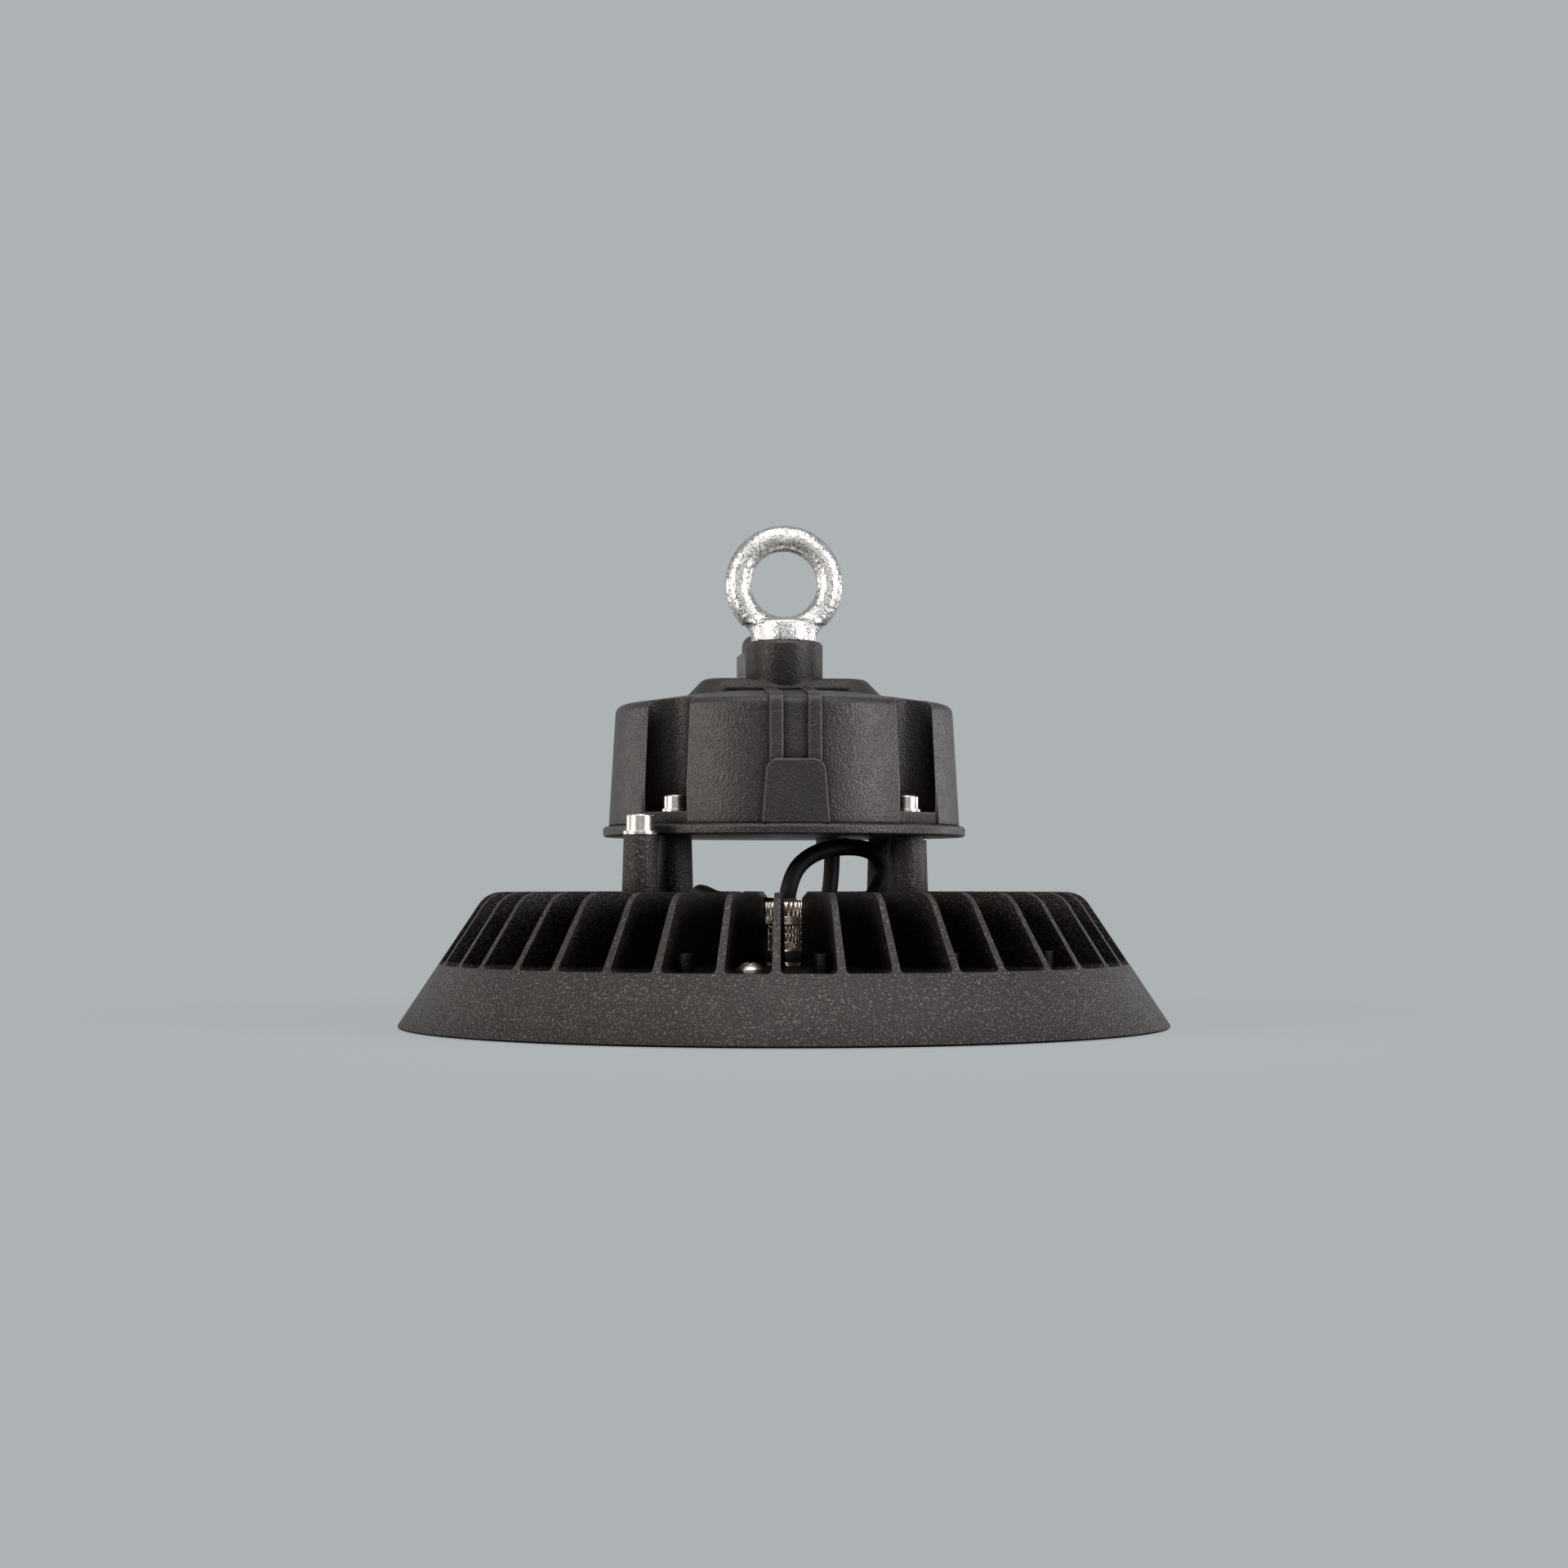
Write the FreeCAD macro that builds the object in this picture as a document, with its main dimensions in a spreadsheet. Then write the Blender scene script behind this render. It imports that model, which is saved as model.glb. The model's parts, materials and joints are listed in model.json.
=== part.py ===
import FreeCAD, Part
import math
import os

import Sketcher

# High bay light. Origin at the centre of the rim that it rests on, +Z up, front towards -Y. Angles are in
# degrees about Z, counted from the front, positive towards +X. Lengths are in millimetres.

V = FreeCAD.Vector
UP = V(0, 0, 1)
doc = FreeCAD.newDocument("HighBayLight")
sizes = doc.addObject("Spreadsheet::Sheet", "Sizes")

driving_sizes = {
    # heat sink casting
    "rim_radius": 145.5,
    "cone_angle": 33.5,
    "rim_round": 1.6,
    "skirt_wall": 3.8,
    "plate_top": 23.5,
    "plate_under": 16.5,
    "well_radius": 48.5,
    "well_floor": 20.5,
    "fin_top": 50.3,
    "fin_inner": 50.5,
    "fin_flat": 64,
    "fin_drop": 2.7,
    "fin_corner": 10,
    "fin_tip": 2.1,
    "fin_root": 2.8,
    "fin_fillet": 1.6,
    "fin_pairs": 20,
    "fin_offset_angle": 4.85,
    "seat_inset": 1,
    "seat_width": 8,
    "lens_seat": 13.6,
    # posts of the heat sink
    "post_top": 71,
    "post_tip_radius": 5.9,
    "post_draft": 1.6,
    "post_inset": 9,
    "bracket_clear": 9.3,
    "post_angle": 45,
    "post_count": 4,
    "bracket_count": 2,
    # ring of small bosses, on the axis of the lens screws
    "boss_inset": 27.5,
    "boss_radius": 2.7,
    "boss_top": 29.8,
    "boss_count": 16,
    "boss_angle": 2.5,
    "lens_boss_radius": 4.5,
    # light source and lens
    "pad_inset": 1,
    "pad_thickness": 0.4,
    "board_inset": 3,
    "board_thickness": 1.6,
    "emitter_side": 5,
    "emitter_height": 0.8,
    "emitter_margin": 10,
    "emitter_rings": 4,
    "emitters_more_each_ring": 6,
    "board_screw_angle": 10,
    "board_screw_count": 6,
    "gasket_thickness": 1.2,
    "glass_inset": 8,
    "glass_thickness": 4,
    "ring_cover": 7,
    "ring_margin": 8,
    "ring_thickness": 2,
    "seat_gap": 0.3,
    # screws
    "tap_gap": 0.1,
    "hole_gap": 0.4,
    "lens_screw_radius": 2,
    "lens_head_radius": 4,
    "lens_head_height": 2.5,
    "board_screw_radius": 1.5,
    "board_head_radius": 2.8,
    "board_head_height": 1.8,
    "lens_screw_bite": 12,
    "board_screw_bite": 5,
    "housing_screw_bite": 22,
    "bracket_screw_bite": 16,
    "earth_screw_bite": 5.5,
    "drill_spare": 1,
    "housing_screw_radius": 2.5,
    "housing_head_radius": 4.25,
    "housing_head_height": 5,
    "housing_washer_radius": 5,
    "housing_washer_height": 1,
    "bracket_screw_radius": 3,
    "bracket_head_radius": 5,
    "bracket_head_height": 6,
    "bracket_washer_radius": 6.2,
    "bracket_washer_height": 1.2,
    "head_edge": 0.5,
    "socket_share": 0.47,
    "earth_angle": 9.15,
    "earth_screw_radius": 2.5,
    "earth_head_radius": 4.75,
    "earth_head_height": 3.5,
    "pan_share": 0.35,
    "cross_width": 1.1,
    "cross_length": 5.2,
    "cross_share": 0.5,
    # driver base plate and housing
    "base_radius": 68.7,
    "base_thickness": 3.8,
    "base_edge": 0.7,
    "housing_gasket": 0.5,
    "gasket_inset": 0.3,
    "flange_width": 2.2,
    "wall_taper": 2.4,
    "shoulder": 117.3,
    "shoulder_round": 3.4,
    "crown_radius": 35,
    "crown_top": 124.6,
    "recess_inset": 2.9,
    "recess_radius": 10.5,
    "recess_floor": 79.5,
    "lug_inset": 1.6,
    "housing_wall": 3.2,
    "side_wall": 3.3,
    "cavity_top": 116.4,
    "plateau_top": 130.9,
    "plateau_half_width": 30.8,
    "plateau_front": 11.3,
    "plateau_back": 45,
    "plateau_corner": 9,
    "plateau_draft": 44,
    "plateau_round": 4,
    "ledge_half_width": 23.3,
    "ledge_front": 18.6,
    "ledge_top": 126.9,
    "eye_boss_radius": 14.7,
    "eye_boss_top": 145,
    "eye_boss_edge": 0.9,
    "rib_width": 4.6,
    "rib_offset": 6.9,
    "rib_height": 1.3,
    "rib_end": 97,
    "rib_root": 3,
    "tongue_half_width": 11.2,
    "tongue_foot": 12,
    "tongue_top": 97.8,
    "tongue_corner": 4.4,
    "tongue_lean": 0.6,
    "tongue_proud": 1,
    # driver
    "driver_length": 74,
    "driver_width": 60,
    "driver_height": 34,
    "driver_corner": 5,
    # lifting eye
    "eye_radius": 17.5,
    "eye_stock": 5,
    "eye_height": 22.5,
    "collar_radius": 12.5,
    "collar_height": 8,
    "eye_shank_radius": 5,
    "eye_shank_length": 17,
    # supply gland
    "gland_back": 30,
    "gland_thread_radius": 12.5,
    "gland_flats": 28.8,
    "gland_foot": 4.2,
    "gland_nut_top": 144,
    "gland_nut_edge": 2.8,
    "gland_cap_radius": 14.6,
    "gland_cap_top": 150.6,
    "gland_cap_round": 4.5,
    "gland_bore": 8,
    "gland_body_bore": 9,
    "gland_nut_bore": 11,
    "gland_seal_bore": 6,
    # lead and its two ends
    "lead_radius": 3.1,
    "socket_circle": 41,
    "socket_angle": 3.2,
    "socket_thread_radius": 4,
    "socket_radius": 4.7,
    "socket_foot": 2.9,
    "socket_flange_radius": 6.6,
    "socket_flange_height": 4.4,
    "socket_neck_radius": 5.6,
    "coupling_radius": 6,
    "coupling_foot": 28.2,
    "coupling_top": 38.4,
    "clamp_radius": 7.1,
    "clamp_top": 46.7,
    "lead_seal_top": 48,
    "entry_circle": 41.6,
    "entry_angle": 149,
    "bushing_radius": 6.5,
    "bushing_height": 5.4,
    "bend_share": 0.45,
    # how far a shape runs into its neighbour or past what it cuts, so that they join or part cleanly
    "overrun": 1,
    "far_out": 20,
    "sliver": 0.01,
}
for row, (alias, number) in enumerate(driving_sizes.items(), start=1):
    sizes.set("A%d" % row, alias.replace("_", " "))
    sizes.set("B%d" % row, str(number))
    sizes.setAlias("B%d" % row, alias)
doc.recompute()


# sizes that follow from the ones on the sheet, the later ones from the earlier
following_sizes = {
    "boss_circle": "({rim_radius} - {boss_inset})",
    "ring_outer": "({boss_circle} + {ring_margin})",
    "glass_radius": "({boss_circle} - {glass_inset})",
    "ring_inner": "({glass_radius} - {ring_cover})",
    "lens_seat_outer": "({glass_radius} - {seat_inset})",
    "lens_seat_inner": "({lens_seat_outer} - {seat_width})",
    "board_radius": "({lens_seat_inner} - {board_inset})",
    "pad_radius": "({board_radius} - {pad_inset})",
    "emitter_pitch": "(({board_radius} - {emitter_margin}) / {emitter_rings})",
    "board_screw_circle": "({emitter_pitch} * ({emitter_rings} - 1 / 2))",
    "post_circle": "({base_radius} - {post_inset})",
    "bracket_circle": "({base_radius} + {bracket_clear})",
    "wall_radius": "({base_radius} - {flange_width})",
    "wall_top_radius": "({wall_radius} - {wall_taper})",
    "recess_centre": "({wall_radius} - {recess_inset})",
    "lug_face": "({wall_radius} - {lug_inset})",
    "cavity_radius": "({wall_top_radius} - {side_wall})",
    "tongue_face": "({wall_radius} + {tongue_proud})",
}


def spelt(text):
    """An expression with each following size written out."""
    for name, meaning in reversed(following_sizes.items()):
        text = text.replace("{%s}" % name, meaning)
    return text


def of(text):
    """An expression on the sheet: every word in braces becomes a cell of it."""
    return spelt(text).replace("{", "Sizes.").replace("}", "")


def worth(text):
    """The number that an expression has now."""
    return float(sizes.evalExpression(spelt(text).replace("{", "").replace("}", "")))


subparts = []


def body_for(name):
    body = doc.addObject("PartDesign::Body", name)
    body.AllowCompound = True
    body.Label = name
    subparts.append(body)
    return body


def axis_of(body, role):
    return [item for item in body.Origin.OriginFeatures if item.Role == role][0]


def sketch_on(body, role, name):
    sketch = body.newObject("Sketcher::SketchObject", name)
    sketch.AttachmentSupport = (axis_of(body, role), [""])
    sketch.MapMode = "FlatFace"
    return sketch


def bind(sketch, kind, places, text):
    """A sketch dimension that follows an expression."""
    index = sketch.addConstraint(Sketcher.Constraint(kind, *places, worth(text)))
    sketch.setExpression("Constraints[%d]" % index, of(text))


def outline(sketch, corners):
    """A closed outline. A corner is (across, up), or (across, up, radius, side) where an arc leaves it for
    the next corner: side 1 has the arc's centre on the left of the way there, side -1 on the right."""
    first = sketch.GeometryCount
    starts, ends = [], []
    for index, corner in enumerate(corners):
        following = corners[(index + 1) % len(corners)]
        here = V(worth(corner[0]), worth(corner[1]), 0)
        there = V(worth(following[0]), worth(following[1]), 0)
        if len(corner) == 2:
            sketch.addGeometry(Part.LineSegment(here, there), False)
            starts.append(1)
            ends.append(2)
            continue
        radius, side = worth(corner[2]), corner[3]
        chord = there - here
        left = V(-chord.y, chord.x, 0).normalize()
        rise = math.sqrt(max(radius ** 2 - (chord.Length / 2) ** 2, 0))
        centre = (here + there) * 0.5 + left * (side * rise)
        from_point, to_point = (here, there) if side > 0 else (there, here)
        turn_start = math.atan2(from_point.y - centre.y, from_point.x - centre.x)
        turn_end = math.atan2(to_point.y - centre.y, to_point.x - centre.x)
        if turn_end < turn_start:
            turn_end += 2 * math.pi
        sketch.addGeometry(Part.ArcOfCircle(Part.Circle(centre, UP, radius), turn_start, turn_end), False)
        starts.append(1 if side > 0 else 2)
        ends.append(2 if side > 0 else 1)
    count = len(corners)
    for index in range(count):
        following = (index + 1) % count
        places = (first + index, ends[index], first + following, starts[following])
        sketch.addConstraint(Sketcher.Constraint("Coincident", *places))
    for index, corner in enumerate(corners):
        place = (-1, 1, first + index, starts[index])
        bind(sketch, "DistanceX", place, corner[0])
        bind(sketch, "DistanceY", place, corner[1])
        if len(corner) > 2:
            bind(sketch, "Radius", (first + index,), corner[2])


def circle(sketch, radius, across="0", up="0"):
    index = sketch.addGeometry(Part.Circle(V(worth(across), worth(up), 0), UP, worth(radius)), False)
    bind(sketch, "DistanceX", (-1, 1, index, 3), across)
    bind(sketch, "DistanceY", (-1, 1, index, 3), up)
    bind(sketch, "Radius", (index,), radius)


def shift(sketch, **places):
    for direction, text in places.items():
        sketch.setExpression("AttachmentOffset.Base." + direction, of(text))


def revolve(body, name, corners, at="0", turn="90", kind="Revolution"):
    """A full turn of an outline about the upright line at a distance from the axis, towards an angle."""
    sketch = sketch_on(body, "XZ_Plane", name + "Outline")
    outline(sketch, corners)
    if at != "0":
        shift(sketch, x="%s * sin(%s)" % (at, turn), z="%s * cos(%s)" % (at, turn))
    turned = body.newObject("PartDesign::" + kind, name)
    turned.Profile = sketch
    turned.ReferenceAxis = (sketch, ["V_Axis"])
    turned.Angle = 360
    turned.Refine = False
    return turned


def raise_from(body, name, sketch, length, draft=None, kind="Pad", down=False):
    """A pad or pocket from a flat sketch; draft is how far its walls lean inwards, in degrees."""
    feature = body.newObject("PartDesign::" + kind, name)
    feature.Profile = sketch
    feature.setExpression("Length", of(length))
    feature.Reversed = down
    feature.Refine = False
    if draft:
        feature.setExpression("TaperAngle", of(draft))
    return feature


def around(body, name, features, count):
    pattern = body.newObject("PartDesign::PolarPattern", name)
    pattern.Originals = features
    pattern.Axis = (axis_of(body, "Z_Axis"), [""])
    pattern.Angle = 360
    pattern.setExpression("Occurrences", of(count))
    pattern.Refine = False
    body.Tip = pattern
    return pattern


def hexagon(sketch, flats, across="0", up="0"):
    """A hexagon with two corners on the line across."""
    corners = []
    for step in range(6):
        reach = "(%s) / (2 * cos(30))" % flats
        corners.append((
            "%s + %s * cos(%d)" % (across, reach, 60 * step),
            "%s + %s * sin(%d)" % (up, reach, 60 * step),
        ))
    outline(sketch, corners)


# ---- heat sink: skirt, plate, fins in pairs, posts and bosses in one casting

cone_at_plate = "({rim_radius} - {plate_top} * tan({cone_angle}))"
cone_at_top = "({rim_radius} - {fin_top} * tan({cone_angle}))"
rim_cut = "({rim_round} * tan((90 - {cone_angle}) / 2))"
corner_cut = "({fin_corner} * tan((90 - {cone_angle}) / 2))"

heat_sink = body_for("heat_sink")
revolve(heat_sink, "Plate", [
    ("0", "{plate_under}"),
    ("{lens_seat_inner}", "{plate_under}"),
    ("{lens_seat_inner}", "{lens_seat}"),
    ("{lens_seat_outer}", "{lens_seat}"),
    ("{lens_seat_outer}", "{plate_under}"),
    ("{rim_radius} - {skirt_wall} - {plate_under} * tan({cone_angle})", "{plate_under}"),
    ("{rim_radius} - {skirt_wall}", "0"),
    ("{rim_radius} + {overrun}", "0"),
    ("{rim_radius} + {overrun}", "{plate_top}"),
    ("{fin_inner} - {overrun}", "{plate_top}"),
    ("{well_radius}", "{well_floor}"),
    ("0", "{well_floor}"),
])
for label, radius, top, length in (
    ("SmallBoss", "{boss_radius}", "{boss_top}", "{boss_top} - {plate_top} + {overrun}"),
    ("LensBoss", "{lens_boss_radius}", "{plate_under} + {overrun}",
     "{plate_under} - {lens_seat} + {gasket_thickness} + {overrun}"),
):
    foot = sketch_on(heat_sink, "XY_Plane", label + "Foot")
    circle(foot, radius, "{boss_circle} * sin({boss_angle})", "-{boss_circle} * cos({boss_angle})")
    shift(foot, z=top)
    boss = raise_from(heat_sink, label, foot, length, down=True)
    around(heat_sink, label + "Ring", [boss], "{boss_count}")

ring_seat = "({lens_seat} - {gasket_thickness})"
board_under = "({plate_under} - {pad_thickness} - {board_thickness})"
for label, radius, reach, turn, level, depth, count in (
    ("LensScrewHole", "{lens_screw_radius} + {tap_gap}", "{boss_circle}", "{boss_angle}", ring_seat,
     "{lens_screw_bite} - {ring_thickness} + {drill_spare}", "{boss_count}"),
    ("BoardScrewHole", "{board_screw_radius} + {tap_gap}", "{board_screw_circle}", "{board_screw_angle}",
     board_under, "{board_screw_bite} + {drill_spare}", "{board_screw_count}"),
    ("EarthScrewHole", "{earth_screw_radius} + {tap_gap}", "{boss_circle}", "-1 * {earth_angle}",
     "({plate_top} - {earth_screw_bite} - {drill_spare} / 2)", "{plate_top}", "1"),
    ("SocketHole", "{socket_thread_radius} + {tap_gap}", "{socket_circle}", "-1 * {socket_angle}",
     "{plate_under} - {overrun}", "{plate_top}", "1"),
):
    drill = sketch_on(heat_sink, "XY_Plane", label + "Drill")
    circle(drill, radius, "%s * sin(%s)" % (reach, turn), "-%s * cos(%s)" % (reach, turn))
    shift(drill, z=level)
    hole = raise_from(heat_sink, label, drill, depth, kind="Pocket")
    hole.Reversed = True
    if count != "1":
        around(heat_sink, label + "s", [hole], count)

fins = []
sunk = "({plate_top} - {overrun})"
for side in (-1, 1):
    section = sketch_on(heat_sink, "XZ_Plane", "FinSection" + ("Left", "Right")[side > 0])
    outline(section, [
        ("-{fin_root} / 2 - {fin_fillet}", sunk),
        ("{fin_root} / 2 + {fin_fillet}", sunk),
        ("{fin_root} / 2 + {fin_fillet}", "{plate_top}", "{fin_fillet}", -1),
        ("{fin_root} / 2", "{plate_top} + {fin_fillet}"),
        ("{fin_tip} / 2", "{fin_top}"),
        ("-{fin_tip} / 2", "{fin_top}"),
        ("-{fin_root} / 2", "{plate_top} + {fin_fillet}", "{fin_fillet}", -1),
        ("-{fin_root} / 2 - {fin_fillet}", "{plate_top}"),
    ])
    lean = FreeCAD.Rotation(V(0, 1, 0), side * worth("{fin_offset_angle}"))
    section.AttachmentOffset = FreeCAD.Placement(V(0, 0, 0), lean)
    shift(section, x="%d * {fin_inner} * sin({fin_offset_angle})" % side,
          z="{fin_inner} * cos({fin_offset_angle})")
    fins.append(raise_from(heat_sink, "Fin" + ("Left", "Right")[side > 0], section,
                           "{rim_radius} - {fin_inner}"))
around(heat_sink, "Fins", fins, "{fin_pairs}")

# one cut gives the rim, the skirt's cone, the fins' outer edges and their rounded shoulders
above = "({fin_top} + {far_out})"
beyond = "({rim_radius} + {far_out})"
revolve(heat_sink, "Envelope", [
    ("{rim_radius} - %s" % rim_cut, "0", "{rim_round}", 1),
    ("{rim_radius} - %s * sin({cone_angle})" % rim_cut, "%s * cos({cone_angle})" % rim_cut),
    ("%s + %s * sin({cone_angle})" % (cone_at_top, corner_cut),
     "{fin_top} - %s * cos({cone_angle})" % corner_cut, "{fin_corner}", 1),
    ("%s - %s" % (cone_at_top, corner_cut), "{fin_top}"),
    ("{fin_flat}", "{fin_top}"),
    ("{fin_inner} - {overrun}", "{fin_top} - {fin_drop}"),
    ("{fin_inner} - {overrun}", above),
    (beyond, above),
    (beyond, "-1 * {overrun}"),
    ("{rim_radius} - %s" % rim_cut, "-1 * {overrun}"),
], kind="Groove")

for label, reach, count, turn in (
    ("Housing", "{post_circle}", "{post_count}", "{post_angle}"),
    ("Bracket", "{bracket_circle}", "{bracket_count}", "{post_angle} + 90"),
):
    tapped = "{%s_screw_radius} + {tap_gap}" % label.lower()
    tapped_foot = "{post_top} - {%s_screw_bite} - {drill_spare}" % label.lower()
    post = revolve(heat_sink, label + "Post", [
        ("0", sunk),
        ("{post_tip_radius} + ({post_top} - %s) * tan({post_draft})" % sunk, sunk),
        ("{post_tip_radius}", "{post_top}"),
        (tapped, "{post_top}"),
        (tapped, tapped_foot),
        ("0", tapped_foot),
    ], at=reach, turn=turn)
    around(heat_sink, label + "Posts", [post], count)


# ---- turned pieces and rings of screws

def turned_piece(name, corners, at="0", turn="90", count="1"):
    body = body_for(name)
    piece = revolve(body, name + "Turned", corners, at=at, turn=turn)
    if count != "1":
        around(body, name + "Ring", [piece], count)
    return body


def ring_corners(inner, outer, low, high):
    return [(inner, low), (outer, low), (outer, high), (inner, high)]


def washer_ring(name, size, level, reach, turn, count):
    """Flat washers round the axis, under the heads of the screws of the same size."""
    return turned_piece(name, ring_corners(
        "{%s_screw_radius} + {hole_gap}" % size, "{%s_washer_radius}" % size, level,
        "%s + {%s_washer_height}" % (level, size)), at=reach, turn=turn, count=count)


def screw_ring(name, size, level, reach, turn, count, way=1):
    """Screws round the axis with their heads on a level: upwards with way 1, hanging under it with way -1."""
    body = body_for(name)
    head, tall = "{%s_head_radius}" % size, "{%s_head_height}" % size
    shank, bite = "{%s_screw_radius}" % size, "{%s_screw_bite}" % size
    corners = [
        ("0", "%s - %d * %s" % (level, way, bite)),
        (shank, "%s - %d * %s" % (level, way, bite)),
        (shank, level),
        (head, level),
        (head, "%s + %d * (%s - {head_edge})" % (level, way, tall)),
        ("%s - {head_edge}" % head, "%s + %d * %s" % (level, way, tall)),
        ("0", "%s + %d * %s" % (level, way, tall)),
    ]
    screw = revolve(body, name + "Turned", corners[::way], at=reach, turn=turn)
    socket = sketch_on(body, "XY_Plane", name + "Hexagon")
    hexagon(socket, "2 * {socket_share} * " + head, "%s * sin(%s)" % (reach, turn),
            "-1 * %s * cos(%s)" % (reach, turn))
    shift(socket, z="%s + %d * %s" % (level, way, tall))
    hollow = raise_from(body, name + "Socket", socket, "{socket_share} * " + tall, kind="Pocket",
                        down=way < 0)
    around(body, name + "Ring", [screw, hollow], count)
    return body


def drill(body, name, radius, reach, turn, low, depth, count="1"):
    """Round holes upwards from a level."""
    mark = sketch_on(body, "XY_Plane", name + "Mark")
    circle(mark, radius, "%s * sin(%s)" % (reach, turn), "-1 * %s * cos(%s)" % (reach, turn))
    shift(mark, z=low)
    hole = raise_from(body, name, mark, depth, kind="Pocket")
    hole.Reversed = True
    if count != "1":
        around(body, name + "Ring", [hole], count)


def set_about(body):
    """A sketch that a body's flat shape is drawn on, seen from above."""
    return sketch_on(body, "XY_Plane", body.Name + "Plan")


# ---- light source and lens under the plate

board_top = "({plate_under} - {pad_thickness})"
pad = turned_piece("thermal_pad", ring_corners("0", "{pad_radius}", board_top, "{plate_under}"))
board = turned_piece("led_board", ring_corners("0", "{board_radius}", board_under, board_top))
for sheet_piece in (pad, board):
    drill(sheet_piece, sheet_piece.Name + "Holes", "{board_screw_radius} + {hole_gap}",
          "{board_screw_circle}", "{board_screw_angle}", "{lens_seat}", "{plate_top}",
          "{board_screw_count}")

emitters = body_for("led_emitters")
for ring_number in range(1, 1 + int(worth("{emitter_rings}"))):
    square = sketch_on(emitters, "XY_Plane", "EmitterSquare%d" % ring_number)
    near = "{emitter_pitch} * %d - {emitter_side} / 2" % ring_number
    far = "{emitter_pitch} * %d + {emitter_side} / 2" % ring_number
    outline(square, [
        (near, "-1 * {emitter_side} / 2"),
        (far, "-1 * {emitter_side} / 2"),
        (far, "{emitter_side} / 2"),
        (near, "{emitter_side} / 2"),
    ])
    shift(square, z=board_under + " - {emitter_height}")
    emitter = raise_from(emitters, "Emitter%d" % ring_number, square, "{emitter_height}")
    around(emitters, "EmitterRing%d" % ring_number, [emitter], "{emitters_more_each_ring} * %d" % ring_number)

screw_ring("board_screws", "board", board_under, "{board_screw_circle}", "{board_screw_angle}",
           "{board_screw_count}", way=-1)
glass_top = ring_seat
glass_under = "(%s - {glass_thickness})" % glass_top
turned_piece("lens_gasket", ring_corners("{lens_seat_inner} + {seat_gap}", "{lens_seat_outer} - {seat_gap}",
                                         glass_top, "{lens_seat}"))
turned_piece("lens_glass", ring_corners("0", "{glass_radius}", glass_under, glass_top))
lens_ring = turned_piece("lens_ring", [
    ("{ring_inner}", glass_under + " - {ring_thickness}"),
    ("{glass_radius} + {seat_gap} + {ring_thickness}", glass_under + " - {ring_thickness}"),
    ("{glass_radius} + {seat_gap} + {ring_thickness}", ring_seat + " - {ring_thickness}"),
    ("{ring_outer}", ring_seat + " - {ring_thickness}"),
    ("{ring_outer}", ring_seat),
    ("{glass_radius} + {seat_gap}", ring_seat),
    ("{glass_radius} + {seat_gap}", glass_under),
    ("{ring_inner}", glass_under),
])
drill(lens_ring, "LensRingHoles", "{lens_screw_radius} + {hole_gap}", "{boss_circle}", "{boss_angle}",
      "0", "{plate_under}", "{boss_count}")
screw_ring("lens_screws", "lens", ring_seat + " - {ring_thickness}", "{boss_circle}", "{boss_angle}",
           "{boss_count}", way=-1)

# ---- earth screw: a pan head with a cross recess

earth_screw = body_for("earth_screw")
pan_edge = "({earth_head_height} * {pan_share})"
pan_dome = "(({earth_head_radius}^2 + ({earth_head_height} - %s)^2) / (2 * ({earth_head_height} - %s)))" % (
    pan_edge, pan_edge)
revolve(earth_screw, "EarthTurned", [
    ("0", "{plate_top} - {earth_screw_bite}"),
    ("{earth_screw_radius}", "{plate_top} - {earth_screw_bite}"),
    ("{earth_screw_radius}", "{plate_top}"),
    ("{earth_head_radius}", "{plate_top}"),
    ("{earth_head_radius}", "{plate_top} + " + pan_edge, pan_dome, 1),
    ("0", "{plate_top} + {earth_head_height}"),
], at="{boss_circle}", turn="-1 * {earth_angle}")
cross = sketch_on(earth_screw, "XY_Plane", "CrossPlan")
middle = ("-1 * {boss_circle} * sin({earth_angle})", "-1 * {boss_circle} * cos({earth_angle})")
wide, long = "{cross_width} / 2", "{cross_length} / 2"
outline(cross, [("%s + %s * %s" % (middle[0], a, b), "%s + %s * %s" % (middle[1], c, d)) for a, b, c, d in (
    ("1", wide, "1", wide), ("1", wide, "1", long), ("-1", wide, "1", long), ("-1", wide, "1", wide),
    ("-1", long, "1", wide), ("-1", long, "-1", wide), ("-1", wide, "-1", wide), ("-1", wide, "-1", long),
    ("1", wide, "-1", long), ("1", wide, "-1", wide), ("1", long, "-1", wide), ("1", long, "1", wide),
)])
shift(cross, z="{plate_top} + {earth_head_height}")
raise_from(earth_screw, "CrossRecess", cross, "{earth_head_height} * {cross_share}", kind="Pocket")

# ---- lead connector on the plate, and the bushing in the driver base plate

base_under = "{post_top}"
base_top = "({post_top} + {base_thickness})"
at_socket = {"at": "{socket_circle}", "turn": "-1 * {socket_angle}"}
bore = "{lead_radius} + {seat_gap}"
stem_top = "({coupling_foot} + ({coupling_top} - {coupling_foot}) / 2)"
turned_piece("lead_socket", [
    ("0", "{plate_under}"),
    ("{socket_thread_radius}", "{plate_under}"),
    ("{socket_thread_radius}", "{well_floor}"),
    ("{socket_radius}", "{well_floor}"),
    ("{socket_radius}", "{well_floor} + {socket_foot}"),
    ("{socket_flange_radius}", "{well_floor} + {socket_foot}"),
    ("{socket_flange_radius}", "{well_floor} + {socket_flange_height}"),
    ("{socket_neck_radius}", "{well_floor} + {socket_flange_height}"),
    ("{socket_neck_radius}", "{coupling_foot} - {seat_gap}"),
    ("{socket_radius}", "{coupling_foot} - {seat_gap}"),
    ("{socket_radius}", stem_top),
    ("0", stem_top),
], **at_socket)
turned_piece("lead_coupling", ring_corners(
    "{socket_radius} + {seat_gap}", "{coupling_radius}", "{coupling_foot}", "{coupling_top}"), **at_socket)
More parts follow.
